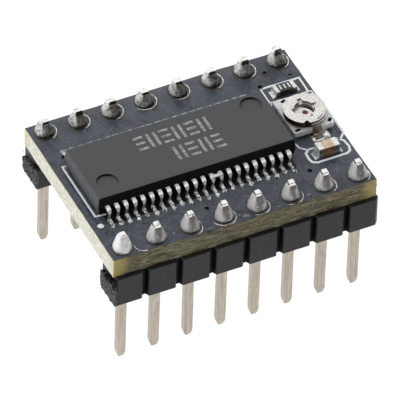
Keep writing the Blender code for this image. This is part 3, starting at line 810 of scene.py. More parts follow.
# Vias and small drilled dots: (x, y, radius)
VIAS = [
    (-9.13, -4.45, 0.17), (-1.95, -5.13, 0.16), (6.12, -4.63, 0.18), (6.68, 4.40, 0.17),
    (7.62, 5.57, 0.15), (9.12, 4.60, 0.17), (-8.75, 3.45, 0.13),
]


def build_vias():
    holes, rims = bmesh.new(), bmesh.new()
    for x, y, radius in VIAS:
        add_turned(holes, [(radius, TOP - 0.004), (radius, TOP + 0.012)], x, y, 16)
        rim = ((0.0, -0.005), (0.13, -0.005), (0.09, 0.03), (0.01, 0.03))
        add_turned(rims, [(radius + out, TOP + up) for out, up in rim], x, y, 20, closed=True)
    add_piece("via_holes", holes, HOLE, "solder_mask")
    add_piece("via_rims", rims, MASK, "solder_mask")


build_vias()

# Silkscreen on the top: (line width, path)
INK_Z0, INK_Z1 = TOP - 0.005, TOP + 0.03
SILKSCREEN = [
    (0.17, [(-9.01, 2.61), (-9.24, 2.58), (-9.24, -2.78), (-8.45, -2.84)]),
    (0.19, [(9.56, 2.70), (9.58, 4.17), (6.61, 4.17)]),
    (0.14, [(6.61, 4.17), (6.60, 2.66), (7.15, 2.62)]),
    (0.18, [(9.93, 2.2), (9.95, -2.10), (9.50, -2.56), (9.17, -2.56)]),
    (0.16, [(6.36, -1.75), (6.48, -2.30), (6.85, -2.66), (7.36, -2.68)]),
    (0.20, [(6.98, -2.68), (6.62, -2.97), (6.58, -3.55), (6.66, -3.92), (6.98, -4.10), (9.28, -4.08)]
     + [(9.56, -3.90), (9.68, -3.48), (9.62, -2.86), (9.38, -2.56), (9.12, -2.42)]),
]
INK_DOT = (-9.31, -3.78)
ink = drawn(SILKSCREEN, INK_Z0, INK_Z1, 0.03)
add_turned(ink, [(0.225, INK_Z0), (0.225, INK_Z1 - 0.01), (0.19, INK_Z1)], *INK_DOT, 20)
add_piece("silkscreen_top", ink, INK, "solder_mask")

# ---------------------------------------------------------------- headers

HOUSING_LOW, HOUSING_HIGH = (mm_box("header_front")[i][2] for i in (0, 1))
HOUSING_HALF = 1.19
HOUSING_END = 10.09
END_CHAMFER = 0.24
TORN_END = 9.75  # where the smooth part of the strip stops; the torn web goes on from there
NOTCH_OPENING, NOTCH_FLOOR, NOTCH_DEPTH = 0.58, 0.20, 0.36


def housing_outline(inset):
    """Front half of a strip's plan, from the torn left end to the moulded right end."""
    half = HOUSING_HALF - inset
    points = [(-TORN_END, -half)]
    for cell in range(1, PIN_COUNT):
        x = -PIN_COUNT / 2 * PITCH + cell * PITCH
        points += [
            (x - NOTCH_OPENING / 2 - inset, -half),
            (x - NOTCH_OPENING / 2 + 0.06 - inset, -half + 0.05),
            (x - NOTCH_FLOOR / 2 - inset, -HOUSING_HALF + NOTCH_DEPTH),
            (x + NOTCH_FLOOR / 2 + inset, -HOUSING_HALF + NOTCH_DEPTH),
            (x + NOTCH_OPENING / 2 - 0.03 + inset, -half + 0.04),
            (x + NOTCH_OPENING / 2 + inset, -half),
        ]
    end = HOUSING_END - inset
    return points + [(end - END_CHAMFER, -half), (end, -half + END_CHAMFER)]


def build_housing(row):
    row_y = PIN_ROWS[row]
    rings = []
    below = [(HOUSING_LOW, 0.07), (HOUSING_LOW + 0.02, 0.03), (HOUSING_LOW + 0.07, 0.0)]
    for z, inset in below + [(HOUSING_HIGH - 0.05, 0.0), (HOUSING_HIGH, 0.04)]:
        front = housing_outline(inset)
        ring = front + [(x, -y) for x, y in front[::-1]]
        rings.append([(x, row_y + y, z) for x, y in ring])
    add_piece(f"header_housing_{row}", loft(rings), HEADER, "header_plastic", f"header_{row}", smooth=25)


# How far below the housing's top the torn web ends: at its front corner and at its rear one
TEARS = {"front": (0.08, 1.02), "rear": (0.45, 1.30)}
TEAR_ACROSS, TEAR_UP = 26, 22


def build_torn_web(row):
    """The ragged end left where the strip was snapped from a longer one."""
    rng = random.Random(row)
    row_y = PIN_ROWS[row]
    front_drop, rear_drop = TEARS[row]
    bm = bmesh.new()
    grid = []
    for i in range(TEAR_ACROSS + 1):
        u = i / TEAR_ACROSS
        drop = front_drop + (rear_drop - front_drop) * u ** 0.8
        drop += 0.10 * wobble((u * 9, 0, 0), 1.0, len(row)) + rng.uniform(-0.05, 0.05)
        top = HOUSING_HIGH - max(0.02, drop)
        column = []
        for j in range(TEAR_UP + 1):
            v = j / TEAR_UP
            y = row_y + HOUSING_HALF * (2 * u - 1) * 0.985
            z = HOUSING_LOW + 0.03 + (top - HOUSING_LOW - 0.03) * v
            ridge = 0.13 * wobble((u * 6, v * 1.6, 0), 1.0, 3 + len(row))
            ridge += 0.07 * wobble((u * 16, v * 9, 0), 1.0, 8)
            edge = smoothstep(0, 0.10, u) * smoothstep(1, 0.92, u)
            edge *= smoothstep(0, 0.06, v) * smoothstep(1.0, 0.95, v)
            jut = rng.uniform(0, 0.12) if v > 0.9 or rng.random() < 0.08 else 0.0
            x = -(9.90 + (0.07 + ridge + jut) * (0.5 + 0.5 * edge))
            column.append((max(x, -HOUSING_END - 0.03), y, z))
        grid.append(column)
    rows = [[bm.verts.new(p) for p in column] for column in grid]
    back = [[bm.verts.new((-TORN_END + 0.02, p[1], p[2])) for p in column] for column in grid]
    for i in range(TEAR_ACROSS):
        for j in range(TEAR_UP):
            bm.faces.new((rows[i][j], rows[i + 1][j], rows[i + 1][j + 1], rows[i][j + 1]))
            bm.faces.new((back[i][j], back[i][j + 1], back[i + 1][j + 1], back[i + 1][j]))
        for j in (0, TEAR_UP):
            bm.faces.new((rows[i][j], back[i][j], back[i + 1][j], rows[i + 1][j]))
    for j in range(TEAR_UP):
        for i in (0, TEAR_ACROSS):
            bm.faces.new((rows[i][j], rows[i][j + 1], back[i][j + 1], back[i][j]))
    add_piece(f"torn_web_{row}", bm, TORN, "header_plastic", smooth=25)
    # a thin burr of plastic drawn out at the tear
    burr = bmesh.new()
    for height in (0.55, 0.74):
        z = HOUSING_LOW + 2.4 * height
        rings = []
        for step in range(6):
            t = step / 5
            size = 0.035 * (1 - 0.85 * t)
            y = row_y + HOUSING_HALF * (0.86 - 0.2 * t * height)
            x = -(9.96 + 0.12 * t)
            corners = ((-1, -1), (1, -1), (1, 1), (-1, 1))
            rings.append([(x, y + size * dy, z + 0.12 * t * t + size * dz) for dy, dz in corners])
        add_loft(burr, rings)
    add_piece(f"tear_burr_{row}", burr, TORN, "header_plastic")


for row_name in PIN_ROWS:
    build_torn_web(row_name)
for row_name in PIN_ROWS:
    build_housing(row_name)

# ---------------------------------------------------------------- pins and solder joints

PIN_HALF = 0.315
PIN_EDGE = 0.085
PIN_TOP = mm_box("pin_front_1")[1][2]
# (height, half width): a bullet tip below and a tapered end above the board
PIN_SECTIONS = [
    (0.0, 0.10), (0.02, 0.145), (0.07, 0.19), (0.15, 0.228),
    (0.26, 0.262), (0.40, 0.292), (0.60, PIN_HALF), (6.2, PIN_HALF),
]
PIN_ENDS = {
    "front": [(0.75, PIN_HALF), (0.40, 0.285), (0.10, 0.225), (0.02, 0.205), (0.0, 0.185)],
    "rear": [(0.75, PIN_HALF), (0.40, 0.305), (0.10, 0.275), (0.02, 0.255), (0.0, 0.235)],
}
# How much lower the rear row's pins end than the front row's
REAR_DROPS = [0.28, 0.22, 0.24, 0.34, 0.30, 0.30, 0.18, 0.08]
CORNER_STEPS = 2


def build_pin(row, number):
    x, y = pin_x(number), PIN_ROWS[row]
    rng = random.Random(100 * (row == "rear") + number)
    lean_x, lean_y = rng.uniform(-0.02, 0.02), rng.uniform(-0.02, 0.02)
    rings = []
    top = PIN_TOP - (REAR_DROPS[number] if row == "rear" else 0.0)
    for z, half in PIN_SECTIONS + [(top - below, half) for below, half in PIN_ENDS[row]]:
        radius = min(PIN_EDGE, half * 0.32)
        outline = rounded_rectangle(2 * half, 2 * half, radius, CORNER_STEPS)
        down = max(0.0, (HOUSING_LOW - z) / HOUSING_LOW)
        rings.append([(x + px + lean_x * down, y + py + lean_y * down, z) for px, py in outline])
    place = f"{row}_{number + 1}"
    add_piece(f"header_pin_{place}", loft(rings), PIN, "plated_pin", f"pin_{place}", smooth=40)


# (height above the board, radius, squareness)
CONE = [
    (0.0, 0.60, 0.0), (0.05, 0.645, 0.0), (0.14, 0.665, 0.0), (0.28, 0.650, 0.05),
    (0.44, 0.600, 0.12), (0.60, 0.530, 0.25), (0.76, 0.462, 0.45), (0.92, 0.402, 0.7),
    (1.05, 0.352, 0.9), (1.15, 0.310, 1.0), (1.22, 0.265, 1.0),
]
CONE_STEPS = 48
REAR_HEIGHT = 0.76  # of the rear row's cones, as a share of the front row's
PAD_RADIUS = 0.865
# Middle and span (degrees) of the bright rim that shows round each pad, None where it doesn't
RIMS = {
    "front": [None, None, (-28, 105), (-65, 200), (-50, 150), (-60, 130), (-15, 95), (-10, 90)],
    "rear": [(-15, 115), (-20, 115), (-25, 135), (-45, 210), (-35, 175), (-20, 125), (-15, 110), (-15, 115)],
}


def build_joint(row, number):
    x, y = pin_x(number), PIN_ROWS[row]
    rng = random.Random(1000 * (row == "rear") + 7 * number + 5)
    lean_x, lean_y = rng.uniform(-0.07, 0.07), rng.uniform(-0.05, 0.05)
    width, height = rng.uniform(0.95, 1.04), rng.uniform(0.94, 1.03)
    height *= REAR_HEIGHT if row == "rear" else 1.0
    seed = rng.uniform(0, 50)
    skirt_turn, skirt = rng.uniform(-1.2, 1.0), rng.choice((0.0, 0.0, 0.10, 0.16))
    rings = []
    for level, radius, square in CONE:
        z = level * height
        t = level / CONE[-1][0]
        ring = []
        for angle, c, s in spokes(CONE_STEPS):
            boxy = min(1 / max(abs(c), abs(s)), 1.27)
            spread = 1 + square * 0.9 * (boxy - 1)
            lump = 1 + 0.06 * wobble((c * 1.2, s * 1.2, z * 1.4), 1.3, seed) * (1 - 0.6 * square)
            lump += 0.04 * wobble((c * 2, s * 2, z * 3), 2.2, seed + 9) * (1 - 0.5 * square)
            away = (angle - skirt_turn + math.pi) % (2 * math.pi) - math.pi
            lump += skirt * math.exp(-(away / 0.5) ** 2) * smoothstep(0.75, 0.1, t)
            r = radius * width * spread * lump
            slip = (1 - t) * 0.5
            ring.append((x + r * c + lean_x * slip, y + r * s + lean_y * slip, TOP + z))
        rings.append(ring)
    place = f"{row}_{number + 1}"
    add_piece(f"solder_cone_{place}", loft(rings), SOLDER, "solder", f"solder_{place}", smooth=60)
    build_rim(row, number, x, y, seed)


def build_bright_rim(row, number, x, y, limit, seed):
    centre, span = RIMS[row][number]
    rings = []
    for t, c, s in sweep(centre - span / 2, centre + span / 2, 30):
        swell = math.sin(math.pi * t) ** 0.5
        r = PAD_RADIUS + 0.035 * wobble((c, s, 0), 1.8, seed + 3)
        half = (0.018 + 0.032 * swell) * (1 + 0.6 * wobble((c * 3, s * 3, 0), 2.0, seed + 4))
        h = 0.015 + 0.04 * swell
        ring = []
        for across, up in ((-1, -0.3), (-0.8, 0.6), (0, 1), (0.8, 0.6), (1, -0.3)):
            out = r + half * across
            ring.append((x + out * c, clamp(y + out * s, limit), TOP + h * up))
        rings.append(ring)
    add_piece(f"pad_rim_{row}_{number + 1}", loft(rings), BRIGHT, "solder", smooth=70)


def build_rim(row, number, x, y, seed):
    """The pad's bright edge on one side, and painted shade, a dark trough, between it and the cone."""
    limit = BOARD_Y - 0.07
    if RIMS[row][number]:
        build_bright_rim(row, number, x, y, limit, seed)
    rings = []
    for _, c, s in spokes(40):
        outer = 0.80 + 0.05 * wobble((c, s, 0), 1.6, seed + 7)
        # in the rear row the painted shade reaches further to the front, as a painted shadow of the cone
        if row == "rear":
            outer += 0.32 * max(0.0, -s) ** 2 * (1 + 0.5 * wobble((c * 2, s * 2, 0), 1.6, seed + 2))
        section = ((0.56, 0.0), (outer, 0.0), (outer - 0.03, 0.014), (0.60, 0.03))
        rings.append([(x + r * c, clamp(y + r * s, limit), TOP + h - 0.002) for r, h in section])
    add_piece(f"shade_ring_{row}_{number + 1}", loft(rings, closed=True), RING_SHADE, "solder", smooth=40)


for row_name in PIN_ROWS:
    for index in range(PIN_COUNT):
        build_pin(row_name, index)
        build_joint(row_name, index)

# ---------------------------------------------------------------- driver chip

ic_low, ic_high = mm_box("ic_package")
IC_X, IC_Y = middle(ic_low, ic_high)
IC_BOTTOM, IC_TOP = ic_low[2], ic_high[2]
IC_LENGTH, IC_WIDTH = ic_high[0] - ic_low[0], ic_high[1] - ic_low[1]
IC_PARTING = TOP + 0.88
IC_DRAFT = 0.12
MARK_RADIUS = 0.79
MARKS = [(-6.15, -1.36), (6.15, 1.62)]
MARK_SIDE = [(-0.02, -0.15), (0.0, -0.015), (0.01, 0.1)]  # from its radius and the package's top


def build_package():
    rings = []
    levels = [(IC_BOTTOM, 0.17), (IC_BOTTOM + 0.04, 0.12)]
    levels += [(IC_PARTING + rise, abs(rise)) for rise in (-0.012, 0.0, 0.012)]
    rounded = ((0.05, -0.015), (0.018, -0.002), (0.004, 0.018), (0.0, 0.05))
    levels += [(IC_TOP - drop, IC_DRAFT + inset) for drop, inset in rounded]
    for z, inset in levels:
        width, depth = IC_LENGTH - 2 * inset, IC_WIDTH - 2 * inset
        rings.append(at_height(rounded_rectangle(width, depth, 0.07, 3, (IC_X, IC_Y)), z))
    package = finish_object("driver_package", loft(rings), PACKAGE)
    cutters = []
    for number, (dx, dy) in enumerate(MARKS):
        cutter = bmesh.new()
        profile = [(MARK_RADIUS + out, IC_TOP + up) for out, up in MARK_SIDE]
        add_turned(cutter, profile, IC_X + dx, IC_Y + dy, 64)
        cutters.append(finish_object(f"mark_cutter_{number}", cutter, PACKAGE, body=None))
    cut(package, cutters)
    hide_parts("ic_package")


build_package()

# Generic laser marking: rows of plain bars. (row start x, row low y, bar pattern)
LASER_HEIGHT = 1.35
LASER_LINE = 0.22
CELL_WIDTH, CELL_STEP = 0.72, 0.96
LASER_ROWS = [(-4.42, 0.36, "hvhvhv"), (-2.32, -1.52, "vhvh")]


def build_marking():
    paths = []
    for start, low, pattern in LASER_ROWS:
        for index, kind in enumerate(pattern):
            x0 = start + index * CELL_STEP
            x1 = x0 + CELL_WIDTH
            if kind == "v":
                bars = (x0 + LASER_LINE / 2, x1 - LASER_LINE / 2)
                paths += [[(x, low), (x, low + LASER_HEIGHT)] for x in bars]
            else:
                heights = [low + LASER_LINE / 2 + (LASER_HEIGHT - LASER_LINE) * t for t in (0.0, 0.5, 1.0)]
                paths += [[(x0, y), (x1, y)] for y in heights]
    bm = drawn([(LASER_LINE, path) for path in paths], IC_TOP - 0.004, IC_TOP + 0.006, 0.004)
    add_piece("laser_marking", bm, LASER, "mould_compound")


build_marking()

LEADS = 22
LEAD_PITCH = 0.65
LEAD_THICK = 0.15
# Path of a lead out from the package side: (distance from the chip's middle line, height)
LEAD_PATH = [
    (2.60, 0.810), (3.03, 0.810), (3.15, 0.730), (3.20, 0.650), (3.23, 0.590), (3.265, 0.500), (3.300, 0.400),
    (3.315, 0.280), (3.335, 0.200), (3.380, 0.135), (3.450, 0.100), (3.550, 0.085), (3.860, 0.080),
]
# The lead's width at each point of that path
LEAD_WIDTHS = [0.31, 0.31, 0.30, 0.25, 0.20, 0.16, 0.15, 0.16, 0.20, 0.22, 0.23, 0.24, 0.24]
FOOT_LEAN = -0.08
REAR_PAD_END = 4.295
REAR_PAD_SIZE = (0.56, 0.5)
FOOT_START = 3.30
# A bit of metal that joins two front leads: middle along the chip, length
BRIDGE_X, BRIDGE_LENGTH = -0.295, 0.87


def lead_rings(x, direction):
    """A lead's sections along its path; its lower end leans a little to the left."""
    rings = []
    for (out, up), width, normal in zip(LEAD_PATH, LEAD_WIDTHS, path_normals(LEAD_PATH)):
        ring = []
        for side, face in strip_section(0.8, 0.6):
            offset = normal * face * LEAD_THICK / 2
            height = up + offset.y
            slip = FOOT_LEAN * smoothstep(0.7, 0.1, height)
            ring.append((x + slip + side * width / 2, IC_Y + direction * (out + offset.x), TOP + height))
        rings.append(ring)
    return rings


def build_leads(row, direction):
    bm, feet, pads = bmesh.new(), bmesh.new(), bmesh.new()
    rng = random.Random(40 + direction)
    for number in range(LEADS):
        x = IC_X + (number - (LEADS - 1) / 2) * LEAD_PITCH + rng.uniform(-0.012, 0.012)
        add_loft(bm, lead_rings(x, direction))
        add_foot(feet, x + FOOT_LEAN, direction, rng)
        if direction > 0:
            centre = (x, IC_Y + REAR_PAD_END - REAR_PAD_SIZE[1] / 2)
            pad = rounded_rectangle(*REAR_PAD_SIZE, 0.05, 2, centre)
            add_block(pads, pad, TOP, TOP + 0.03)
    if direction < 0:
        bridge = rounded_rectangle(BRIDGE_LENGTH, 0.26, 0.05, 3, (BRIDGE_X, IC_Y - 3.08))
        add_block(bm, bridge, TOP + 0.76, TOP + 0.90, edge=0.05)
    add_piece(f"driver_leads_{row}", bm, LEAD, "lead_frame", f"ic_leads_{row}", smooth=24)
    add_piece(f"lead_solder_{row}", feet, TOE, "solder", smooth=70)
    if direction > 0:
        add_piece(f"lead_pads_{row}", pads, PAD, "solder")
    else:
        pads.free()


def add_foot(bm, x, direction, rng):
    """Solder round one foot: a thin film beside it, a wider bead at the heel and the toe."""
    rings = []
    shift = rng.uniform(-0.04, 0.04)
    reach = rng.uniform(4.10, 4.32) - (0.06 if direction > 0 else 0.0)
    heel, toe = rng.uniform(0.10, 0.17), rng.uniform(0.11, 0.18)
    spread = rng.uniform(0.15, 0.21)
    for t in (0.0, 0.08, 0.18, 0.3, 0.45, 0.58, 0.68, 0.78, 0.88, 0.96, 1.0):
        out = FOOT_START + (reach - FOOT_START) * t
        bead = math.exp(-((t - 0.80) / 0.11) ** 2)
        back = math.exp(-((t - 0.10) / 0.12) ** 2)
        half = 0.095 + spread * 0.55 * bead + 0.05 * back
        half *= 1 - 0.75 * smoothstep(0.9, 1.0, t)
        tall = 0.055 + toe * bead + heel * back
        tall *= 1 - 0.7 * smoothstep(0.9, 1.0, t)
        centre, y = x + shift * t, IC_Y + direction * out
        ring = [(centre + half * c, y, TOP + tall * s ** 0.7) for c, s in HALF_TURN]
        rings.append(ring + [(centre + side * half * 0.9, y, TOP - 0.01) for side in (-1, 1)])
    add_loft(bm, rings)


build_leads("front", -1)
build_leads("rear", 1)

# ---------------------------------------------------------------- trimmer

base_low, base_high = mm_box("trimmer_base")
rotor_low, rotor_high = mm_box("trimmer_rotor")
ROTOR_TOP = rotor_high[2]
# Moulded slots in the base's corners: (x, y, length, width, turn in degrees)
BASE_SLOTS = [
    (6.86, -1.20, 0.46, 0.26, 8), (9.34, -1.12, 0.42, 0.24, 45),
    (7.22, 1.85, 0.44, 0.26, 20), (9.30, 1.90, 0.26, 0.14, 0),
]


def slot_outline(x, y, length, width, turn, inset=0.0):
    c, s = math.cos(math.radians(turn)), math.sin(math.radians(turn))
    outline = rounded_rectangle(length - 2 * inset, width - 2 * inset, width * 0.35 - inset, 3)
    return [(x + px * c - py * s, y + px * s + py * c) for px, py in outline]


def build_trimmer_base():
    bm = bmesh.new()
    width, depth = base_high[0] - base_low[0], base_high[1] - base_low[1]
    outline = rounded_rectangle(width, depth, 0.10, 3, middle(base_low, base_high))
    add_block(bm, outline, base_low[2], base_high[2], edge=0.04)
    base = finish_object("trimmer_base_body", bm, CERAMIC, smooth=40)
    cutters = []
    for number, slot in enumerate(BASE_SLOTS):
        cutter = bmesh.new()
        add_block(cutter, slot_outline(*slot), base_high[2] - 0.30, base_high[2] + 0.2, edge=0.02)
        cutters.append(finish_object(f"base_cutter_{number}", cutter, CERAMIC, body=None))
    cut(base, cutters)
    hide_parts("trimmer_base")
    bm = bmesh.new()
    for slot in BASE_SLOTS:
        add_block(bm, slot_outline(*slot, inset=0.005), base_high[2] - 0.31, base_high[2] - 0.05, edge=0.02)
    add_piece("base_slot_floors", bm, HOLE, "trimmer_ceramic")


ROTOR_RADIUS = 1.5
ROTOR_STEPS = 144
NOTCH_ANGLE = math.radians(-109)
# (drop below the rotor's top, change of radius): the disc's edge, then its skirt
ROTOR_EDGE = [
    (0.05, 0.004), (0.12, 0.0), (0.15, -0.02), (0.15, -0.40), (0.30, -0.60), (0.42, -0.74), (0.42, -1.10),
]
SKIRT_EDGE = [
    (0.33, -0.60), (0.16, -0.36), (0.14, -0.08), (0.30, -0.07), (0.36, -0.04), (0.46, -0.03), (0.48, -0.06),
    (0.48, -0.60),
]
LIP_RADIUS, LIP_DROP = 1.505, 0.26
LIP_START, LIP_END = -98, -30


def rotor_height(px, py):
    """Height of the rotor's stamped top below its rim, at a point from its axis."""
    r = math.hypot(px, py)
    well = max(smoothstep(0.735, 0.60, r), smoothstep(0.675, 0.655, r))
    tip_x = 1.08 if px > 0 else 0.90
    tip_y = 1.00 if py > 0 else 0.95
    arm_x = smoothstep(0.20, 0.14, abs(py - 0.04)) * smoothstep(tip_x, tip_x - 0.07, abs(px))
    arm_y = smoothstep(0.19, 0.13, abs(px - 0.04)) * smoothstep(tip_y, tip_y - 0.07, abs(py))
    slope = 0.10 + 0.14 * smoothstep(1.05, 0.62, r)
    drop = max(0.36 * well, slope * max(arm_x, arm_y))
    turn = math.degrees(math.atan2(py, px))
    groove = smoothstep(0.045, 0.015, abs(r - 1.385)) * smoothstep(18, 12, abs(turn + 62))
    drop = max(drop, 0.07 * groove)
    rim = 0.035 * smoothstep(1.38, 1.5, r)
    dome = 0.02 * smoothstep(0.7, 1.1, r)
    return -(drop + rim) + dome - 0.02


def build_rotor():
    radii = [0.40, 0.46, 0.52, 0.56, 0.59, 0.61, 0.63, 0.652, 0.67, 0.69, 0.71, 0.73, 0.75, 0.78, 0.81]
    radii += [0.84, 0.87, 0.89, 0.91, 0.93, 0.95, 0.97, 1.0, 1.05, 1.12, 1.2, 1.28, 1.33, 1.35, 1.37, 1.385]
    radii += [1.40, 1.42, 1.44, 1.47, 1.49, 1.5]
    rings = []
    for radius in radii:
        ring = []
        for angle, c, s in spokes(ROTOR_STEPS):
            away = (angle - NOTCH_ANGLE + math.pi) % (2 * math.pi) - math.pi
            notch = 0.20 * smoothstep(0.16, 0.03, abs(away))
            r = min(radius, ROTOR_RADIUS - notch)
            px, py = r * c, r * s
            ring.append((TRIM_X + px, TRIM_Y + py, ROTOR_TOP + rotor_height(px, py)))
        rings.append(ring)
    edge = rings[-1]
    for drop, grow in ROTOR_EDGE:
        rings.append(shrunk(edge, grow, ROTOR_TOP - drop))
    rotor_piece("disc", loft(rings, closed=True), ROTOR, "trimmer_rotor")
    # the skirt under the disc, in dark metal as painted shade, and its turned-out lip
    rings = [shrunk(edge, grow, ROTOR_TOP - drop) for drop, grow in SKIRT_EDGE]
    rotor_piece("skirt", loft(rings, closed=True), SKIRT)
    rings = []
    for t, c, s in sweep(LIP_START, LIP_END, 60):
        half = 0.015 + 0.065 * math.sin(math.pi * t) ** 0.5
        ring = []
        for across, up in ((-1, -1), (1, -1), (1.2, 0), (1, 1), (-1, 1)):
            r = LIP_RADIUS + 0.4 * half * across
            ring.append((TRIM_X + r * c, TRIM_Y + r * s, ROTOR_TOP - LIP_DROP + half * up))
        rings.append(ring)
    rotor_piece("lip", loft(rings), EYELET)


def rotor_piece(part, bm, material, node=None):
    add_piece(f"trimmer_rotor_{part}", bm, material, "rotor_metal", node, body="rotor", smooth=55)


def shrunk(ring, change, z):
    """A copy of the rotor's edge ring at another height, its radius changed by some mm."""
    scale = 1 + change / ROTOR_RADIUS
    return [(TRIM_X + (x - TRIM_X) * scale, TRIM_Y + (y - TRIM_Y) * scale, z) for x, y, _ in ring]


FLANGE_DROP = 0.36
STRIP_THICK = 0.12
BORE_CENTRE = (TRIM_X + 0.05, TRIM_Y - 0.04)
CRESCENT_RADIUS, CRESCENT_WIDTH = 0.56, 0.19
CRESCENT_START, CRESCENT_END = -32, 104


def build_eyelet():
    """The rivet, the dark floor of its bore and a crescent of painted shade, a dark reflection, on its
    flange.
    """
    top = ROTOR_TOP - FLANGE_DROP
    low = mm_box("trimmer_eyelet")[0][2] - top
    profile = [
        (0.19, -0.12), (0.20, -0.06), (0.22, -0.02), (0.25, -0.005), (0.30, 0.0), (0.40, 0.0),
        (0.50, 0.0), (0.56, -0.008), (0.58, -0.015), (0.28, -0.017), (0.28, low), (0.19, low),
    ]
    bm = bmesh.new()
    add_turned(bm, [(r, top + z) for r, z in profile], *BORE_CENTRE, 48, closed=True)
    add_piece("trimmer_eyelet_rivet", bm, EYELET, "lead_frame", "trimmer_eyelet", smooth=40)
    bm = bmesh.new()
    add_turned(bm, [(0.185, top - 0.25), (0.185, top - 0.10), (0.12, top - 0.105)], *BORE_CENTRE, 24)
    add_piece("eyelet_bore_floor", bm, BORE, "lead_frame")
    cx, cy = BORE_CENTRE
    rings = []
    for t, c, s in sweep(CRESCENT_START, CRESCENT_END, 32):
        inner = CRESCENT_RADIUS - 0.01 - CRESCENT_WIDTH * math.sin(math.pi * t) ** 0.7
        section = ((inner, 0.001), (inner, 0.008), (CRESCENT_RADIUS, 0.008), (CRESCENT_RADIUS, -0.01))
        rings.append([(cx + r * c, cy + r * s, top + z) for r, z in section])
    add_piece("eyelet_painted_shade", loft(rings), PAINTED_SHADE, "lead_frame")


def add_strip(bm, x, width, path):
    """A bent strip across X: path of (y, z) points on its middle line."""
    rings = []
    for (y, z), normal in zip(path, path_normals(path)):
        ring = []
        for side, face in strip_section(0.92, 0.75):
            offset = normal * face * STRIP_THICK / 2
            ring.append((x + side * width / 2, y + offset.x, TOP + z + offset.y))
        rings.append(ring)
    add_loft(bm, rings)


def add_terminal(name, node, x, width, path, material):
    bm = bmesh.new()
    add_strip(bm, x, width, path)
    add_piece(name, bm, material, "lead_frame", node, smooth=50)


def add_solder(name, blobs):
    """Solder that has flowed out in blobs, each a place, a size and a seed."""
    bm = bmesh.new()
    for blob in blobs:
        add_blob(bm, *blob)
    add_piece(name, bm, BRIGHT, "solder", smooth=80)


def build_terminals():
    low, high = mm_box("trimmer_wiper_terminal")
    x, width = middle(low, high)[0], high[0] - low[0]
    face = base_low[1] - 0.06
    path = [
        (face + 0.05, 0.66), (face, 0.62), (face, 0.25), (face - 0.02, 0.16), (face - 0.08, 0.10),
        (face - 0.16, 0.08), (face - 0.50, 0.07),
    ]
    add_terminal("wiper_terminal", "trimmer_wiper_terminal", x, width * 0.95, path, TERMINAL)
    blobs = [
        ((x - width * 0.62, face - 0.36, TOP), (0.20, 0.36, 0.16), 2.0),
        ((x + width * 0.66, face - 0.34, TOP), (0.34, 0.50, 0.34), 4.0),
        ((x + 0.12, face - 0.62, TOP), (0.46, 0.16, 0.12), 8.0),
    ]
    add_solder("wiper_solder", blobs)
    rear = base_high[1] + 0.06
    path = [(rear, 0.50), (rear, 0.25), (rear + 0.03, 0.13), (rear + 0.10, 0.08), (rear + 0.2, 0.07)]
    for side in ("left", "right"):
        node = f"trimmer_end_terminal_{side}"
        low, high = mm_box(node)
        x = middle(low, high)[0]
        add_terminal(f"end_terminal_{side}", node, x, high[0] - low[0], path, TINNED)
        blob = ((x, rear + 0.16, TOP), (0.45, 0.22, 0.26), 5.0)
        add_solder(f"end_terminal_solder_{side}", [blob])


def add_blob(bm, centre, size, seed, steps=20, levels=7):
    """A low uneven dome: solder that has flowed round something."""
    cx, cy, cz = centre
    rings = []
    for level in range(levels + 1):
        rise = math.pi / 2 * level / levels
        r = math.cos(rise) if level < levels else 0.04
        z = cz - 0.01 + size[2] * math.sin(rise) ** 1.2
        ring = []
        for _, c, s in spokes(steps):
            lump = r * (1 + 0.16 * wobble((c * 1.3, s * 1.3, level * 0.3), 1.2, seed))
            ring.append((cx + size[0] * c * lump, cy + size[1] * s * lump, z))
        rings.append(ring)
    add_loft(bm, rings)


build_trimmer_base()
build_rotor()
build_eyelet()
build_terminals()

# Drops of clear flux near the front edge: (x, y, half length, half width, height)
FLUX_DROPS = [
    (0.20, -6.88, 0.30, 0.20, 0.10), (-0.22, -6.62, 0.12, 0.10, 0.05), (-2.55, -7.02, 0.26, 0.09, 0.06),
    (-5.05, -6.42, 0.12, 0.14, 0.05), (5.02, -6.72, 0.22, 0.12, 0.07), (2.62, -6.95, 0.16, 0.09, 0.05),
]
# The centre of the arc of a thin bright curl between the first two front joints
FLUX_CURL = (-7.42, -6.56)

drops = bmesh.new()
for number, (x, y, *size) in enumerate(FLUX_DROPS):
    add_blob(drops, (x, y, TOP), size, 20.0 + number)
add_piece("flux_drops", drops, DROP, "solder_mask", smooth=80)
curl = drawn([(0.05, arc(*FLUX_CURL, 0.64, 165, 275, 24))], TOP, TOP + 0.03, 0.012)
add_piece("flux_curl", curl, BRIGHT, "solder_mask", smooth=60)

# ---------------------------------------------------------------- chip parts


def local_block(bm, size, z0, z1, centre=(0, 0), edge=0.03, corner=0.04):
    outline = rounded_rectangle(size[0], size[1], corner, 2, centre)
    add_block(bm, outline, z0, z1, edge=edge)


def placed(bm, x, y, turn, base, direction):
    """Turns a part built standing on Z = 0 to its place on either side of the board."""
    matrix = Matrix.Translation((x, y, base)) @ Matrix.Rotation(math.radians(turn), 4, "Z")
    if direction < 0:
        matrix = matrix @ Matrix.Scale(-1, 4, (0, 0, 1))
    bmesh.ops.transform(bm, matrix=matrix, verts=bm.verts)
    if direction < 0:
        bmesh.ops.reverse_faces(bm, faces=bm.faces)


def fillet(bm, x0, x1, half_width, tall, foot, seed):
    """A concave solder fillet that rises against an end face from x1 to x0."""
    rings = []
    steps = 7
    for i in range(steps + 1):
        t = i / steps
        x = x0 + (x1 - x0) * t
        z = foot + (tall - foot) * (1 - t) ** 2.2
        half = half_width * (1 - 0.10 * t) * (1 + 0.04 * wobble((t * 3, 0, 0), 1.5, seed))
        ring = [(x, half * c, z * s ** 0.45) for c, s in HALF_TURN]
        rings.append(ring + [(x, -half * 0.98, -0.02), (x, half * 0.98, -0.02)])
    add_loft(bm, rings)


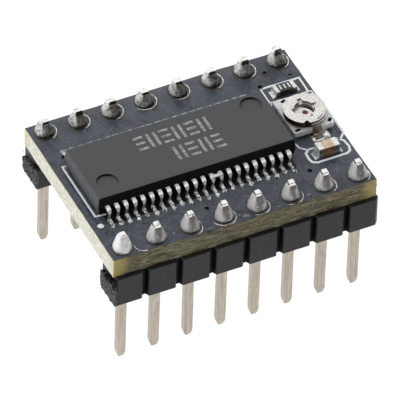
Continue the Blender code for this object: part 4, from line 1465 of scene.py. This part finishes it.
def build_chip(node, kind, turn, direction, seed):
    """A chip resistor or capacitor in the box of its CAD node."""
    low, high = mm_box(node)
    length, width = high[0] - low[0], high[1] - low[1]
    if turn:
        length, width = width, length
    base, tall = (TOP, high[2] - TOP) if direction > 0 else (BOTTOM, BOTTOM - low[2])
    resistor = kind == "resistor"
    slot = f"{kind}_body"
    end = length * (0.19 if resistor else 0.25)

    def piece(part, material, slot, *details, **finish):
        placed(bm, *middle(low, high), turn, base, direction)
        add_piece(f"{node}_{part}", bm, material, slot, *details, **finish)

    bm = bmesh.new()
    if resistor:
        local_block(bm, (length - 0.06, width - 0.02), 0.03, tall - 0.04, edge=0.02)
    else:
        local_block(bm, (length - 0.06, width - 0.03), 0.03, tall - 0.015, edge=0.05, corner=0.06)
    piece("body", GLAZE if resistor else CAPACITOR, slot, node)
    if resistor:
        bm = bmesh.new()
        local_block(bm, (length - 2 * end + 0.02, width - 0.05), tall - 0.05, tall - 0.005, edge=0.02)
        piece("glaze", GLAZE, slot)
        bars = [offset * length for offset in (-0.20, 0.0, 0.20)]
        lines = [(length / 16, [(x, -0.26 * width), (x, 0.26 * width)]) for x in bars]
        bm = drawn(lines, tall - 0.012, tall + 0.004, 0.004)
        piece("marks", INK, slot)
    bm = bmesh.new()
    for side in (-1, 1):
        centre = (side * (length - end) / 2, 0)
        local_block(bm, (end, width), 0.02, tall, centre, edge=0.05, corner=0.05)
    piece("ends", TINNED, "solder")
    bm = bmesh.new()
    rise = tall * (0.75 if resistor else 0.6)
    for side in (-1, 1):
        inner, outer = side * (length / 2 - 0.02), side * (length / 2 + 0.26)
        fillet(bm, inner, outer, width * 0.48, rise, 0.03, seed + side)
    piece("fillets", BRIGHT, "solder", smooth=80)


# (kind, turn in degrees, side of the board) for each chip part's CAD node
CHIPS = {"resistor_top": ("resistor", 0, 1), "capacitor_top": ("capacitor", 0, 1)}
CHIPS.update({f"sense_resistor_{i}": ("resistor", 0, -1) for i in (1, 2)})
CHIPS.update({f"supply_capacitor_{i}": ("capacitor", 0, -1) for i in (1, 2)})
SMALL_CAPACITORS = ("charge_pump", "regulator", "bypass", "oscillator")
CHIPS.update({f"{use}_capacitor": ("capacitor", 90, -1) for use in SMALL_CAPACITORS})
CHIPS.update({f"pull_up_resistor_{i}": ("resistor", 90, -1) for i in (1, 2)})
for number, (node, chip) in enumerate(CHIPS.items()):
    build_chip(node, *chip, 2.0 * number)

# ---------------------------------------------------------------- CAD nodes that stay


def keep(node, material):
    obj = frame["nodes"][node]
    obj.data.materials.clear()
    obj.data.materials.append(material)


keep("ic_die", SILICON)
keep("ic_thermal_pad", LEAD)
keep("trimmer_track", TRACK)

# ---------------------------------------------------------------- floor, light, camera


def build_floor():
    bm = bmesh.new()
    reach = 3000
    add_loft(bm, [at_height(circle(0, 0, reach, 48), -1.0), at_height(circle(0, 0, reach, 48), -0.02)])
    look = Look("floor", (0.9, 0.9, 0.9), 0.8)
    tree = look.tree
    glow = tree.nodes.new("ShaderNodeEmission")
    glow.inputs["Color"].default_value = (1, 1, 1, 1)
    glow.inputs["Strength"].default_value = 1.14
    mix = tree.nodes.new("ShaderNodeMixShader")
    mix.inputs["Fac"].default_value = 0.88
    tree.links.new(look.shader.outputs["BSDF"], mix.inputs[1])
    tree.links.new(glow.outputs["Emission"], mix.inputs[2])
    tree.links.new(mix.outputs["Shader"], tree.nodes["Material Output"].inputs["Surface"])
    floor = finish_object("floor", bm, look.material, body=None)
    floor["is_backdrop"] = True


build_floor()

CAMERA_X = Vector((0.9021, -0.4308, 0.0248))
CAMERA_Y = Vector((0.2799, 0.6280, 0.7261))
CAMERA_FORWARD = Vector((0.3284, 0.6481, -0.6871))
CAMERA_DISTANCE = 500.0
CAMERA_SHIFT = (0.014, 3.189)
FOCAL_LENGTH = 655.1
SENSOR = 36.0


# Directions in the sky: where it is dark in front, and the bright side
DARK_FRONT = Vector((-0.12, -0.93, 0.36)).normalized()
BRIGHT_SIDE = Vector((-0.80, 0.50, 0.30)).normalized()


def build_world():
    """A white studio that is dark in front and dimmer away from its bright side."""
    world = bpy.data.worlds.new("studio")
    SCENE.world = world
    world.use_nodes = True
    tree = world.node_tree
    background = tree.nodes["Background"]
    place = tree.nodes.new("ShaderNodeTexCoord")

    def shade(direction, low, high, to_low, to_high):
        dot = tree.nodes.new("ShaderNodeVectorMath")
        dot.operation = "DOT_PRODUCT"
        dot.inputs[1].default_value = direction
        tree.links.new(place.outputs["Generated"], dot.inputs[0])
        ramp = tree.nodes.new("ShaderNodeMapRange")
        ramp.interpolation_type = "SMOOTHSTEP"
        for socket, value in (
            ("From Min", low), ("From Max", high), ("To Min", to_low), ("To Max", to_high),
        ):
            ramp.inputs[socket].default_value = value
        tree.links.new(dot.outputs["Value"], ramp.inputs["Value"])
        return ramp.outputs["Result"]

    front = shade(DARK_FRONT, 0.42, 0.88, 1.0, 0.16)
    side = shade(BRIGHT_SIDE, -0.75, 0.25, 0.55, 1.05)
    product = tree.nodes.new("ShaderNodeMath")
    product.operation = "MULTIPLY"
    tree.links.new(front, product.inputs[0])
    tree.links.new(side, product.inputs[1])
    background.inputs["Color"].default_value = (1.0, 1.0, 1.0, 1)
    tree.links.new(product.outputs[0], background.inputs["Strength"])


build_world()


def build_lights():
    """A soft box on the left and a faint one behind."""
    for name, direction, energy, size in (
        ("left_softbox", (-0.85, -0.10, 0.60), 0.045, 0.16),
        ("top_softbox", (-0.05, -0.42, 0.90), 0.030, 0.12),
    ):
        light = bpy.data.lights.new(name, "AREA")
        light.energy = energy
        light.size = size
        obj = bpy.data.objects.new(name, light)
        SCENE.collection.objects.link(obj)
        way = Vector(direction).normalized()
        obj.location = way * 0.25 + Vector((0, 0, 0.01))
        obj.rotation_euler = way.to_track_quat("Z", "Y").to_euler()


build_lights()


def build_camera():
    data = bpy.data.cameras.new("camera")
    data.lens = FOCAL_LENGTH
    data.sensor_width = SENSOR
    data.clip_start = 0.01
    data.clip_end = 10.0
    data.dof.use_dof = False
    obj = bpy.data.objects.new("camera", data)
    SCENE.collection.objects.link(obj)
    place = -(CAMERA_X * CAMERA_SHIFT[0] + CAMERA_Y * CAMERA_SHIFT[1] + CAMERA_FORWARD * CAMERA_DISTANCE)
    place = (place + Vector((0, 0, TOP))) * MM
    axes = Matrix((CAMERA_X, CAMERA_Y, -CAMERA_FORWARD)).transposed().to_4x4()
    obj.matrix_world = Matrix.Translation(place) @ axes
    SCENE.camera = obj


build_camera()

SCENE.view_settings.view_transform = "Standard"
SCENE.view_settings.look = "None"

{"cad": plain(cad_bounds), "visual": plain(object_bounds())}
